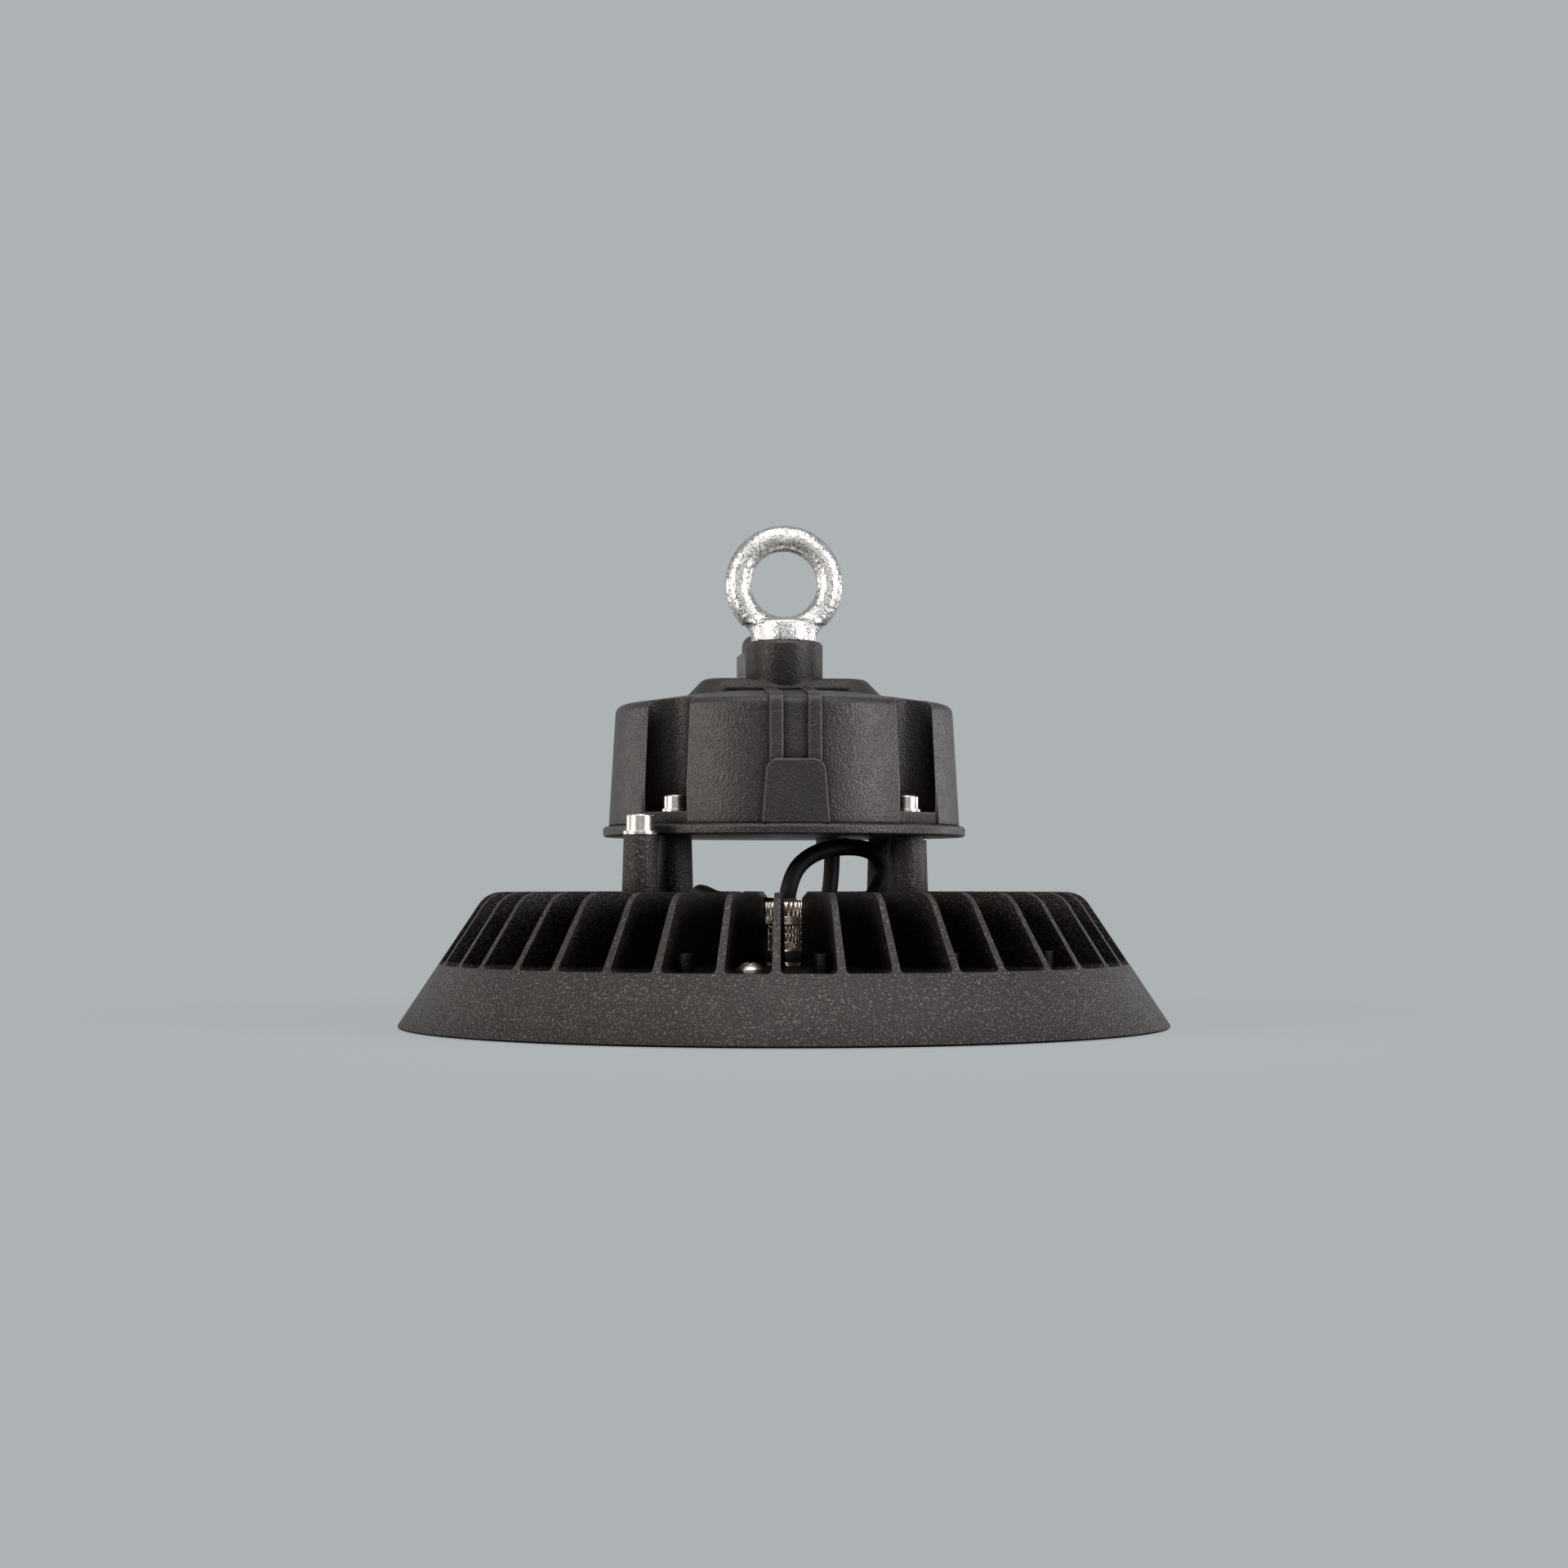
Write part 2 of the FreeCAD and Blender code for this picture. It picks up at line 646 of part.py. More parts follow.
turned_piece("lead_clamp_nut", [
    (bore, stem_top + " + {seat_gap}"),
    ("{socket_radius}", stem_top + " + {seat_gap}"),
    ("{socket_radius}", "{coupling_top}"),
    ("{clamp_radius}", "{coupling_top}"),
    ("{clamp_radius}", "{clamp_top}"),
    (bore, "{clamp_top}"),
], **at_socket)
turned_piece("lead_seal", ring_corners(
    bore, "({clamp_radius} + {lead_radius}) / 2 + {seat_gap}", "{clamp_top}", "{lead_seal_top}"), **at_socket)
turned_piece("lead_bushing", [
    (bore, base_under + " - {bushing_height}"),
    ("{bushing_radius}", base_under + " - {bushing_height}"),
    ("{bushing_radius}", base_under),
    ("{socket_radius}", base_under),
    ("{socket_radius}", base_top + " + {housing_gasket}"),
    (bore, base_top + " + {housing_gasket}"),
], at="{entry_circle}", turn="{entry_angle}")

# ---- lead: straight runs joined by the largest arcs that they leave room for

lead_route = [
    (-2.3, -40.9, 36),
    (-2.3, -40.9, 54.5),
    (9.2, -37.5, 66.4),
    (31, -28, 67.2),
    (36.5, -23, 57.5),
    (30, -28.5, 46.5),
    (20.5, -29.5, 39.5),
    (5, -27, 44.5),
    (-12, -26, 47),
    (-26.5, -15, 49.5),
    (-33, 1.5, 51),
    (-29.5, 18, 50),
    (-17, 30, 43),
    (1, 37.5, 37),
    (18.5, 37.4, 42),
    (21.4, 35.7, 55),
    (21.4, 35.7, 73),
]


def tube(route, radius, bend_share):
    """A round tube along straight runs and tangent arcs, which take a share of the shorter run beside them.
    Also gives its length and the radii of its arcs."""
    points = [V(*point) for point in route]
    edges, radii, here = [], [], points[0]
    for before, corner, after in zip(points, points[1:], points[2:]):
        came, goes = (corner - before), (after - corner)
        shorter = min(came.Length, goes.Length)
        turn = came.getAngle(goes)
        reach = bend_share * shorter
        radii.append(reach / math.tan(turn / 2))
        way_in, way_out = V(came).normalize(), V(goes).normalize()
        start, end = corner - way_in * reach, corner + way_out * reach
        towards = (way_out - way_in).normalize()
        middle = corner + towards * (radii[-1] / math.cos(turn / 2) - radii[-1])
        edges += [Part.LineSegment(here, start).toShape(), Part.Arc(start, middle, end).toShape()]
        here = end
    edges.append(Part.LineSegment(here, points[-1]).toShape())
    path = Part.Wire(edges)
    ring = Part.Wire([Part.makeCircle(radius, points[0], points[1] - points[0])])
    return path.makePipeShell([ring], True, False), path.Length, radii


lead_shape, lead_length, lead_radii = tube(lead_route, worth("{lead_radius}"), worth("{bend_share}"))
lead = doc.addObject("Part::Feature", "lead")
lead.Label = "lead"
lead.Shape = lead_shape
lead.Placement = FreeCAD.Placement()
subparts.append(lead)
print("lead length %.1f, volume %.0f against %.0f, arc radii %s" % (
    lead_length, lead_shape.Volume, math.pi * worth("{lead_radius}") ** 2 * lead_length,
    " ".join("%.1f" % radius for radius in lead_radii)))

# ---- driver base plate, gasket and driver

base_plate = turned_piece("driver_base_plate", [
    ("0", base_under),
    ("{base_radius} - {base_edge}", base_under),
    ("{base_radius}", base_under + " + {base_edge}"),
    ("{base_radius}", base_top + " - {base_edge}"),
    ("{base_radius} - {base_edge}", base_top),
    ("0", base_top),
])
drill(base_plate, "BaseScrewHoles", "{housing_screw_radius} + {hole_gap}", "{post_circle}", "{post_angle}",
      "{post_top} - {overrun}", "{recess_floor}", "{post_count}")
drill(base_plate, "BaseEntry", "{socket_radius} + {seat_gap}", "{entry_circle}", "{entry_angle}",
      "{post_top} - {overrun}", "{recess_floor}")


def cavity_plan(sketch):
    """Four lobes with a hollow between them that clears each recess by the wall."""
    big = "{cavity_radius}"
    small = "({recess_radius} + {housing_wall})"
    along = "((%s^2 - %s^2 + {recess_centre}^2) / (2 * {recess_centre}))" % (big, small)
    half = "acos(%s / %s)" % (along, big)
    corners = []
    for quarter in range(4):
        middle_turn = "({post_angle} * 1 deg + 90 deg * %d)" % quarter
        for sign, radius, side in (("-", small, -1), ("+", big, 1)):
            corners.append((
                "%s * cos(%s %s %s)" % (big, middle_turn, sign, half),
                "%s * sin(%s %s %s)" % (big, middle_turn, sign, half),
                radius, side))
    outline(sketch, corners)


gasket = body_for("driver_gasket")
gasket_plan = set_about(gasket)
circle(gasket_plan, "{lug_face} - {gasket_inset}")
cavity_plan(gasket_plan)
shift(gasket_plan, z=base_top)
raise_from(gasket, "GasketSheet", gasket_plan, "{housing_gasket}")
drill(gasket, "GasketHoles", "{housing_screw_radius} + {hole_gap}", "{post_circle}", "{post_angle}",
      base_top + " - {overrun}", "{driver_height}", "{post_count}")

driver = body_for("driver_module")
driver_plan = set_about(driver)
half_long, half_wide = "({driver_length} / 2)", "({driver_width} / 2)"
round_corners = []
for across, up, first in ((1, -1, 0), (1, 1, 1), (-1, 1, 0), (-1, -1, 1)):
    flat = ("%d * (%s - {driver_corner})" % (across, half_long), "%d * %s" % (up, half_wide))
    tall = ("%d * %s" % (across, half_long), "%d * (%s - {driver_corner})" % (up, half_wide))
    near, far = (flat, tall) if first == 0 else (tall, flat)
    round_corners += [near + ("{driver_corner}", 1), far]
outline(driver_plan, round_corners)
shift(driver_plan, z=base_top)
raise_from(driver, "DriverCase", driver_plan, "{driver_height}")

# ---- driver housing

housing = body_for("driver_housing")
housing_foot = "(%s + {housing_gasket})" % base_top
crown_foot = "({wall_top_radius} - {shoulder_round})"
revolve(housing, "Bell", [
    ("0", housing_foot),
    ("{wall_radius}", housing_foot),
    ("{wall_top_radius}", "{shoulder}", "{shoulder_round}", 1),
    (crown_foot, "{shoulder} + {shoulder_round}"),
    ("{crown_radius}", "{crown_top}"),
    ("0", "{crown_top}"),
])
recess = sketch_on(housing, "XY_Plane", "RecessPlan")
circle(recess, "{recess_radius}", "{recess_centre} * sin({post_angle})",
       "-1 * {recess_centre} * cos({post_angle})")
shift(recess, z="{recess_floor}")
recess_cut = raise_from(housing, "Recess", recess, "{crown_top}", kind="Pocket")
recess_cut.Reversed = True
face = sketch_on(housing, "XZ_Plane", "LugPlan")
half_face = "({recess_radius} + {overrun})"
outline(face, [
    ("-1 * " + half_face, "{post_top}"),
    (half_face, "{post_top}"),
    (half_face, "{plateau_top}"),
    ("-1 * " + half_face, "{plateau_top}"),
])
face.AttachmentOffset = FreeCAD.Placement(V(0, 0, 0), FreeCAD.Rotation(V(0, 1, 0), worth("{post_angle}")))
shift(face, x="{lug_face} * sin({post_angle})", z="{lug_face} * cos({post_angle})")
face_cut = raise_from(housing, "LugFace", face, "{wall_radius}", kind="Pocket")
face_cut.Reversed = True
around(housing, "Recesses", [recess_cut, face_cut], "{post_count}")

plateau = sketch_on(housing, "XY_Plane", "PlateauPlan")
half, corner_round = "{plateau_half_width}", "{plateau_corner}"
front, back = "-1 * {plateau_front}", "{plateau_back}"
outline(plateau, [
    ("-1 * %s + %s" % (half, corner_round), front),
    ("%s - %s" % (half, corner_round), front, corner_round, 1),
    (half, "%s + %s" % (front, corner_round)),
    (half, "%s - %s" % (back, corner_round), corner_round, 1),
    ("%s - %s" % (half, corner_round), back),
    ("-1 * %s + %s" % (half, corner_round), back, corner_round, 1),
    ("-1 * %s" % half, "%s - %s" % (back, corner_round)),
    ("-1 * %s" % half, "%s + %s" % (front, corner_round), corner_round, 1),
])
shift(plateau, z="{plateau_top}")
plateau_pad = raise_from(housing, "Plateau", plateau, "{plateau_top} - {crown_top} + {overrun}",
                         "{plateau_draft}", down=True)
doc.recompute()
plateau_edge = housing.newObject("PartDesign::Fillet", "PlateauEdge")
plateau_edge.Base = (plateau_pad, [
    "Edge%d" % (number + 1) for number, edge in enumerate(plateau_pad.Shape.Edges)
    if all(abs(vertex.Z - worth("{plateau_top}")) < worth("{sliver}") for vertex in edge.Vertexes)])
plateau_edge.setExpression("Radius", of("{plateau_round}"))
plateau_edge.Refine = False

eye_boss_foot = "({crown_top} - {overrun})"
ledge = sketch_on(housing, "YZ_Plane", "LedgeSide")
outline(ledge, [
    ("-1 * {plateau_front}", eye_boss_foot),
    ("-1 * {ledge_front}", eye_boss_foot),
    ("-1 * {ledge_front}", "{ledge_top}"),
    ("-1 * {plateau_front}", "{ledge_top}"),
])
ledge_pad = raise_from(housing, "Ledge", ledge, "2 * {ledge_half_width}")
ledge_pad.Midplane = True

revolve(housing, "EyeBoss", [
    ("0", eye_boss_foot),
    ("{eye_boss_radius}", eye_boss_foot),
    ("{eye_boss_radius}", "{eye_boss_top} - {eye_boss_edge}"),
    ("{eye_boss_radius} - {eye_boss_edge}", "{eye_boss_top}"),
    ("0", "{eye_boss_top}"),
])
for side, label in ((-1, "Left"), (1, "Right")):
    rib = sketch_on(housing, "YZ_Plane", label + "RibSide")
    lift = "{rib_height}"
    outline(rib, [
        ("-1 * {ledge_front} + {overrun}", eye_boss_foot),
        ("-1 * %s + {overrun}" % crown_foot, "{shoulder}"),
        ("-1 * {wall_top_radius} + {rib_root}", "{rib_end}"),
        ("-1 * {wall_radius}", "{rib_end}"),
        ("-1 * {wall_top_radius} - %s" % lift, "{shoulder}", "{shoulder_round} + %s" % lift, -1),
        ("-1 * %s" % crown_foot, "{shoulder} + {shoulder_round} + %s" % lift),
        ("-1 * {ledge_front} + {overrun}", "{ledge_top}"),
    ])
    shift(rib, z="%d * {rib_offset}" % side)
    rib_pad = raise_from(housing, label + "Rib", rib, "{rib_width}")
    rib_pad.Midplane = True

tongue = sketch_on(housing, "XZ_Plane", "TongueFront")
half_tip = "({tongue_half_width} - {tongue_lean})"
outline(tongue, [
    ("-1 * {tongue_foot}", housing_foot),
    ("{tongue_foot}", housing_foot),
    (half_tip, "{tongue_top} - {tongue_corner}", "{tongue_corner}", 1),
    (half_tip + " - {tongue_corner}", "{tongue_top}"),
    ("-1 * %s + {tongue_corner}" % half_tip, "{tongue_top}", "{tongue_corner}", 1),
    ("-1 * " + half_tip, "{tongue_top} - {tongue_corner}"),
])
shift(tongue, z="{cavity_radius} + {overrun}")
raise_from(housing, "Tongue", tongue, "{tongue_face} - {cavity_radius} - {overrun}")

cavity = sketch_on(housing, "XY_Plane", "CavityPlan")
cavity_plan(cavity)
shift(cavity, z=housing_foot)
cavity_cut = raise_from(housing, "Cavity", cavity, "{cavity_top} - " + housing_foot, kind="Pocket")
cavity_cut.Reversed = True
drill(housing, "LugHoles", "{housing_screw_radius} + {hole_gap}", "{post_circle}", "{post_angle}",
      housing_foot + " - {overrun}", "{recess_floor} - %s + 2 * {overrun}" % housing_foot, "{post_count}")
drill(housing, "EyeHole", "{eye_shank_radius} + {tap_gap}", "0", "0",
      "{eye_boss_top} - {eye_shank_length} - {drill_spare}", "2 * {eye_shank_length}")
drill(housing, "GlandHole", "{gland_thread_radius} + {tap_gap}", "{gland_back}", "180",
      "{cavity_top} - {overrun}", "{plateau_top} - {cavity_top} + 2 * {overrun}")

# ---- screws and washers on top

washer_top = {
    "housing": "({recess_floor} + {housing_washer_height})",
    "bracket": "({post_top} + {bracket_washer_height})",
}
washer_ring("housing_washers", "housing", "{recess_floor}", "{post_circle}", "{post_angle}", "{post_count}")
screw_ring("housing_screws", "housing", washer_top["housing"], "{post_circle}", "{post_angle}",
           "{post_count}")
washer_ring("bracket_washers", "bracket", "{post_top}", "{bracket_circle}", "{post_angle} + 90",
            "{bracket_count}")
screw_ring("bracket_screws", "bracket", washer_top["bracket"], "{bracket_circle}", "{post_angle} + 90",
           "{bracket_count}")

# ---- lifting eye: shank and collar turned, ring round a level axis

eye = body_for("eye_bolt")
eye_middle = "({eye_boss_top} + {eye_height})"
revolve(eye, "EyeShank", [
    ("0", "{eye_boss_top} - {eye_shank_length}"),
    ("{eye_shank_radius} - {head_edge}", "{eye_boss_top} - {eye_shank_length}"),
    ("{eye_shank_radius}", "{eye_boss_top} - {eye_shank_length} + {head_edge}"),
    ("{eye_shank_radius}", "{eye_boss_top}"),
    ("{collar_radius}", "{eye_boss_top}"),
    ("{collar_radius}", "{eye_boss_top} + {collar_height} - {head_edge}"),
    ("{collar_radius} - {head_edge}", "{eye_boss_top} + {collar_height}"),
    ("0", "{eye_boss_top} + {collar_height}"),
])
ring_sketch = sketch_on(eye, "YZ_Plane", "EyeSection")
circle(ring_sketch, "{eye_stock}", "0", "{eye_radius}")
shift(ring_sketch, y=eye_middle)
eye_ring = eye.newObject("PartDesign::Revolution", "EyeRing")
eye_ring.Profile = ring_sketch
eye_ring.ReferenceAxis = (ring_sketch, ["H_Axis"])
eye_ring.Angle = 360

# ---- supply gland

at_gland = {"at": "{gland_back}", "turn": "180"}
gland_split = "({plateau_top} + {gland_foot})"
gland_body = body_for("supply_gland_body")
gland_plan = set_about(gland_body)
hexagon(gland_plan, "{gland_flats}", "0", "{gland_back}")
shift(gland_plan, z="{plateau_top}")
raise_from(gland_body, "GlandHexagon", gland_plan, "{gland_foot}")
revolve(gland_body, "GlandThread", ring_corners(
    "{gland_body_bore}", "{gland_thread_radius}", "{cavity_top}", "{plateau_top} + {overrun}"), **at_gland)
drill(gland_body, "GlandBore", "{gland_body_bore}", "{gland_back}", "180", "{plateau_top} - {overrun}",
      "{gland_foot} + 2 * {overrun}")

gland_nut = body_for("supply_gland_nut")
nut_plan = set_about(gland_nut)
hexagon(nut_plan, "{gland_flats}", "0", "{gland_back}")
shift(nut_plan, z=gland_split)
raise_from(gland_nut, "NutHexagon", nut_plan, "{gland_nut_top} - %s" % gland_split)
hex_reach = "({gland_flats} / (2 * cos(30)))"
revolve(gland_nut, "NutCap", [
    ("0", "{gland_nut_top} - {overrun}"),
    ("{gland_cap_radius}", "{gland_nut_top} - {overrun}"),
    ("{gland_cap_radius}", "{gland_cap_top} - {gland_cap_round}", "{gland_cap_round}", 1),
    ("{gland_cap_radius} - {gland_cap_round}", "{gland_cap_top}"),
    ("0", "{gland_cap_top}"),
], **at_gland)
revolve(gland_nut, "NutEdge", [
    ("{gland_flats} / 2", "{gland_nut_top} + {sliver}"),
    (hex_reach + " + {overrun}", "{gland_nut_top} - {gland_nut_edge}"),
    (hex_reach + " + {overrun}", "{gland_nut_top} + {sliver}"),
], kind="Groove", **at_gland)
drill(gland_nut, "NutBore", "{gland_nut_bore}", "{gland_back}", "180", gland_split + " - {overrun}",
      "{gland_nut_top} - %s + {overrun}" % gland_split)
drill(gland_nut, "NutMouth", "{gland_bore}", "{gland_back}", "180", gland_split, "{gland_cap_top}")
turned_piece("supply_gland_seal", ring_corners(
    "{gland_seal_bore}", "{gland_nut_bore} - {seat_gap}", gland_split, "{gland_nut_top}"), **at_gland)

# ---- check, then write one STEP file for each sub-part

doc.recompute()
faults = [item.Name + " " + "/".join(item.State) for item in doc.Objects
          if "Invalid" in item.State or "Error" in item.State]
for part in subparts:
    if part.Shape.isNull() or not part.Shape.isValid() or not part.Shape.Solids:
        faults.append(part.Label + " has no valid shape")
if faults:
    raise RuntimeError("; ".join(faults))
os.makedirs("parts", exist_ok=True)
for part in subparts:
    part.Shape.exportStep("parts/%s.step" % part.Label)
    print("%-20s %3d solids %10.1f mm3" % (part.Label, len(part.Shape.Solids), part.Shape.Volume))
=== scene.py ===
import json
import math
import bmesh
import bpy
import numpy as np
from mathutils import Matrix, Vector


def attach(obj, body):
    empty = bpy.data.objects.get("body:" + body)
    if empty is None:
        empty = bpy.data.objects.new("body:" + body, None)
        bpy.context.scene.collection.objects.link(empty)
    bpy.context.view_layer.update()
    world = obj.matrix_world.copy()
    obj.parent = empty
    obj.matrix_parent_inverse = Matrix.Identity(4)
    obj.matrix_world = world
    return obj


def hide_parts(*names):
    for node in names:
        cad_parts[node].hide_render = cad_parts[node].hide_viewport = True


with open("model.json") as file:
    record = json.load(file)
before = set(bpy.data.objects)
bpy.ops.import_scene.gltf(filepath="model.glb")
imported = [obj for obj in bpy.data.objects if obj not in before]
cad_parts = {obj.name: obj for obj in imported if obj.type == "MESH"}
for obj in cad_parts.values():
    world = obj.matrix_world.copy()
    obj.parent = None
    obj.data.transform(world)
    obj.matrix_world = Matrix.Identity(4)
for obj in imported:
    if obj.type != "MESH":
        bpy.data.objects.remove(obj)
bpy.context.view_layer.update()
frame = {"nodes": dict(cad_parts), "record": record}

mm = 0.001
scene = bpy.context.scene
print("frame loaded:", len(frame["nodes"]), "nodes")

# the camera: a short telephoto a metre in front, just above the rim, looking a touch upward
viewpoint = {
    "stands": (-0.0641, -0.9917, 0.0531),
    "looksAt": (0.0, 0.0, 0.0913),
    "lens": 60.0,
    "sensor": 36.0,
    "nearest": 0.01,
}
cameraData = bpy.data.cameras.new("studioCamera")
cameraData.lens = viewpoint["lens"]
cameraData.sensor_width = viewpoint["sensor"]
cameraData.clip_start = viewpoint["nearest"]
camera = bpy.data.objects.new("studioCamera", cameraData)
scene.collection.objects.link(camera)
camera.location = viewpoint["stands"]
aim = Vector(viewpoint["looksAt"]) - Vector(viewpoint["stands"])
camera.rotation_euler = aim.to_track_quat("-Z", "Y").to_euler()
scene.camera = camera

# the lead: out of the plug, up under the driver, down and round the well, back up into the driver
leadCable = {
    "radius": 3.1 * mm,
    "length": 0.2635,
    "entersDriver": (0.0214, 0.0357, 0.073),
    "route": [
        (-2.3, -40.9, 36), (-2.3, -40.9, 54.5), (9.2, -37.5, 66.4), (31, -28, 67.2),
        (36.5, -23, 57.5), (30, -28.5, 46.5), (20.5, -29.5, 39.5), (5, -27, 44.5),
        (-12, -26, 45.4), (-26.5, -15, 47.6), (-33, 1.5, 50), (-29.5, 18, 50), (-17, 30, 43),
        (1, 37.5, 37), (18.5, 37.4, 42), (21.4, 35.7, 55), (21.4, 35.7, 73),
    ],                                           # millimetres: across, back, up
    "smoothness": 16,
    "roundness": 8,
}
leadCurve = bpy.data.curves.new("leadLine", "CURVE")
leadCurve.dimensions = "3D"
leadSpline = leadCurve.splines.new("NURBS")
leadSpline.points.add(len(leadCable["route"]) - 1)
for knot, (across, back, up) in zip(leadSpline.points, reversed(leadCable["route"])):
    knot.co = (across * mm, back * mm, up * mm, 1.0)
    knot.radius = leadCable["radius"]
leadSpline.order_u = 3
leadSpline.use_endpoint_u = True
leadSpline.resolution_u = leadCable["smoothness"]
leadCurve.resolution_u = leadCable["smoothness"]
leadCurve.render_resolution_u = leadCable["smoothness"]
leadCurve.bevel_depth = 1.0                      # times each point's radius
leadCurve.bevel_resolution = leadCable["roundness"]
leadCurve.use_fill_caps = True
lead = bpy.data.objects.new("leadLine", leadCurve)
scene.collection.objects.link(lead)
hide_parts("lead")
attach(lead, "root")
print("lead laid")


def skin(name, grid, wrapDown=False):
    # grid is rows x columns x 3; each little square of neighbours is one face, the columns close
    # round, and the rows close too where asked
    rows, columns = grid.shape[:2]
    index = np.arange(rows * columns).reshape(rows, columns)
    if wrapDown:
        index = np.vstack([index, index[:1]])
    index = np.hstack([index, index[:, :1]])
    faces = np.stack([index[:-1, :-1], index[:-1, 1:], index[1:, 1:], index[1:, :-1]], axis=-1)
    mesh = bpy.data.meshes.new(name)
    mesh.from_pydata(grid.reshape(-1, 3).tolist(), [], faces.reshape(-1, 4).tolist())
    mesh.validate()
    mesh.polygons.foreach_set("use_smooth", np.ones(len(mesh.polygons), dtype=bool))
    piece = bpy.data.objects.new(name, mesh)
    scene.collection.objects.link(piece)
    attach(piece, "root")
    return piece


def finishMesh(piece, sharpAngle):
    # doubles merged, normals turned outward, edges over the angle kept crisp
    shell = bmesh.new()
    shell.from_mesh(piece.data)
    bmesh.ops.remove_doubles(shell, verts=shell.verts, dist=mm * 0.001)
    bmesh.ops.recalc_face_normals(shell, faces=shell.faces)
    shell.to_mesh(piece.data)
    shell.free()
    piece.data.set_sharp_from_angle(angle=math.radians(sharpAngle))
    return piece


# the plug: ribbed and knurled metal turnings on one axis, in millimetres
plug = {
    "axis": (-2.292, -40.937),
    "columns": 288,
    "ribs": 24,
    "edge": 0.25,                                # height of the rounded rim of a band
    "edgeDrop": 0.9,                             # how far it falls back, as a share of that height
    "knurlStep": 0.22,
    "knurlSlant": 2.6,
    "knurlShare": 1.25,                          # crossing lines to each rib
    "ribSoftness": 0.6,
    "crisp": 50,
}


def ribbedTurning(name, bands, bore):
    # radius = band radius - depth x (1 - rib wave); bands are (low, high, radius, depth, kind)
    turn = np.linspace(0, 2 * np.pi, plug["columns"], endpoint=False)
    levels, radii, depths, kinds = [], [], [], []
    for low, high, radius, depth, kind in bands:
        edge = min(plug["edge"], (high - low) / 4)
        steps = max(3, int((high - low) / plug["knurlStep"])) if kind == "knurl" else 3
        levels += [low, low + edge, *np.linspace(low + edge, high - edge, steps)[1:-1], high - edge, high]
        inner = [radius] * steps
        rim = radius - edge * plug["edgeDrop"]
        radii += [rim, *inner, rim]
        depths += [0.0, *[depth] * steps, 0.0]
        kinds += [kind] * (steps + 2)
    levels, radii, depths = (np.array(run)[:, None] for run in (levels, radii, depths))
    knurl = (np.array(kinds) == "knurl")[:, None]
    ribs, lines = plug["ribs"], plug["ribs"] * plug["knurlShare"]
    flute = np.abs(np.cos(ribs * turn / 2))[None, :] ** plug["ribSoftness"]      # narrow valleys
    slant = levels / radii * plug["knurlSlant"]
    left = np.abs(np.cos(lines * (turn[None, :] + slant)))
    right = np.abs(np.cos(lines * (turn[None, :] - slant)))
    wave = np.where(knurl, np.minimum(left, right), flute)
    around = radii - depths * (1 - wave)
    outer = np.stack([around * np.cos(turn), around * np.sin(turn),
                      np.broadcast_to(levels, around.shape)], axis=-1)
    ends = [outer[-1] * [0, 0, 1], outer[0] * [0, 0, 1]]
    wall = np.stack([bore * np.cos(turn), bore * np.sin(turn), np.zeros_like(turn)], axis=-1)
    grid = np.concatenate([outer, (ends[0] + wall)[None], (ends[1] + wall)[None]])
    grid[..., 0] += plug["axis"][0]
    grid[..., 1] += plug["axis"][1]
    piece = skin(name, grid * mm, wrapDown=True)
    return finishMesh(piece, plug["crisp"])


plugSocket = ribbedTurning("plugSocket", [
    (16.5, 20.4, 4.0, 0.0, "plain"), (20.5, 23.3, 4.7, 0.0, "plain"), (23.4, 24.0, 6.6, 0.0, "plain"),
    (24.1, 24.9, 6.6, 0.0, "plain"), (25.0, 27.9, 5.6, 0.0, "plain"), (27.95, 33.2, 4.7, 0.0, "plain"),
], bore=3.2)
plugCuff = ribbedTurning("plugCuff", [(24.95, 28.15, 6.6, 0.0, "plain")], bore=5.0)
for turning in (plugSocket, plugCuff):
    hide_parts("lead_socket")
plugCollar = ribbedTurning("plugCollar", [
    (28.2, 29.6, 6.5, 0.0, "plain"), (29.7, 32.4, 6.0, 0.28, "knurl"), (32.5, 35.4, 6.0, 0.55, "flute"),
    (35.5, 38.3, 6.0, 0.55, "flute"),
], bore=4.8)
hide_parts("lead_coupling")
plugNut = ribbedTurning("plugNut", [
    (33.5, 38.4, 4.7, 0.0, "plain"), (38.5, 41.5, 7.1, 0.28, "knurl"), (41.7, 46.7, 7.1, 0.75, "flute"),
], bore=3.25)
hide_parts("lead_clamp_nut")
plugSeal = ribbedTurning("plugSeal", [
    (46.72, 47.3, 5.0, 0.0, "plain"), (47.3, 48.0, 4.3, 0.0, "plain"),
], bore=3.15)
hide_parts("lead_seal")
print("plug turned")


# the eye bolt: a forged ring melting into its collar, in millimetres
eyeBolt = {
    "centre": 167.5,
    "ring": 17.5,
    "stock": 5.0,
    "collarRadius": 12.5,
    "collarFoot": 145.0,
    "collarTop": 153.0,
    "rounding": 1.0,
    "blend": 3.0,
    "columns": 224,
    "sectionPoints": 72,
    "search": 14.0,                              # farther out than the skin lies anywhere
    "halvings": 34,
    "sunkBelow": 1.2,                            # deeper in the collar than this the ring is thinned
    "sunkBy": 0.5,
    "collarColumns": 128,
    "collarLine": [                              # radius and height, from the shank's foot to the top
        (0, 128.0), (4.5, 128.0), (5, 128.5), (5, 145.0), (12.0, 145.0), (12.35, 145.15),
        (12.5, 145.5), (12.5, 147.5), (12.5, 150.5), (12.5, 152.0), (12.35, 152.55), (12.0, 152.9),
        (11.5, 153.0), (6.0, 153.0), (0, 153.0),
    ],
    "ringCrisp": 60,
    "collarCrisp": 50,
}


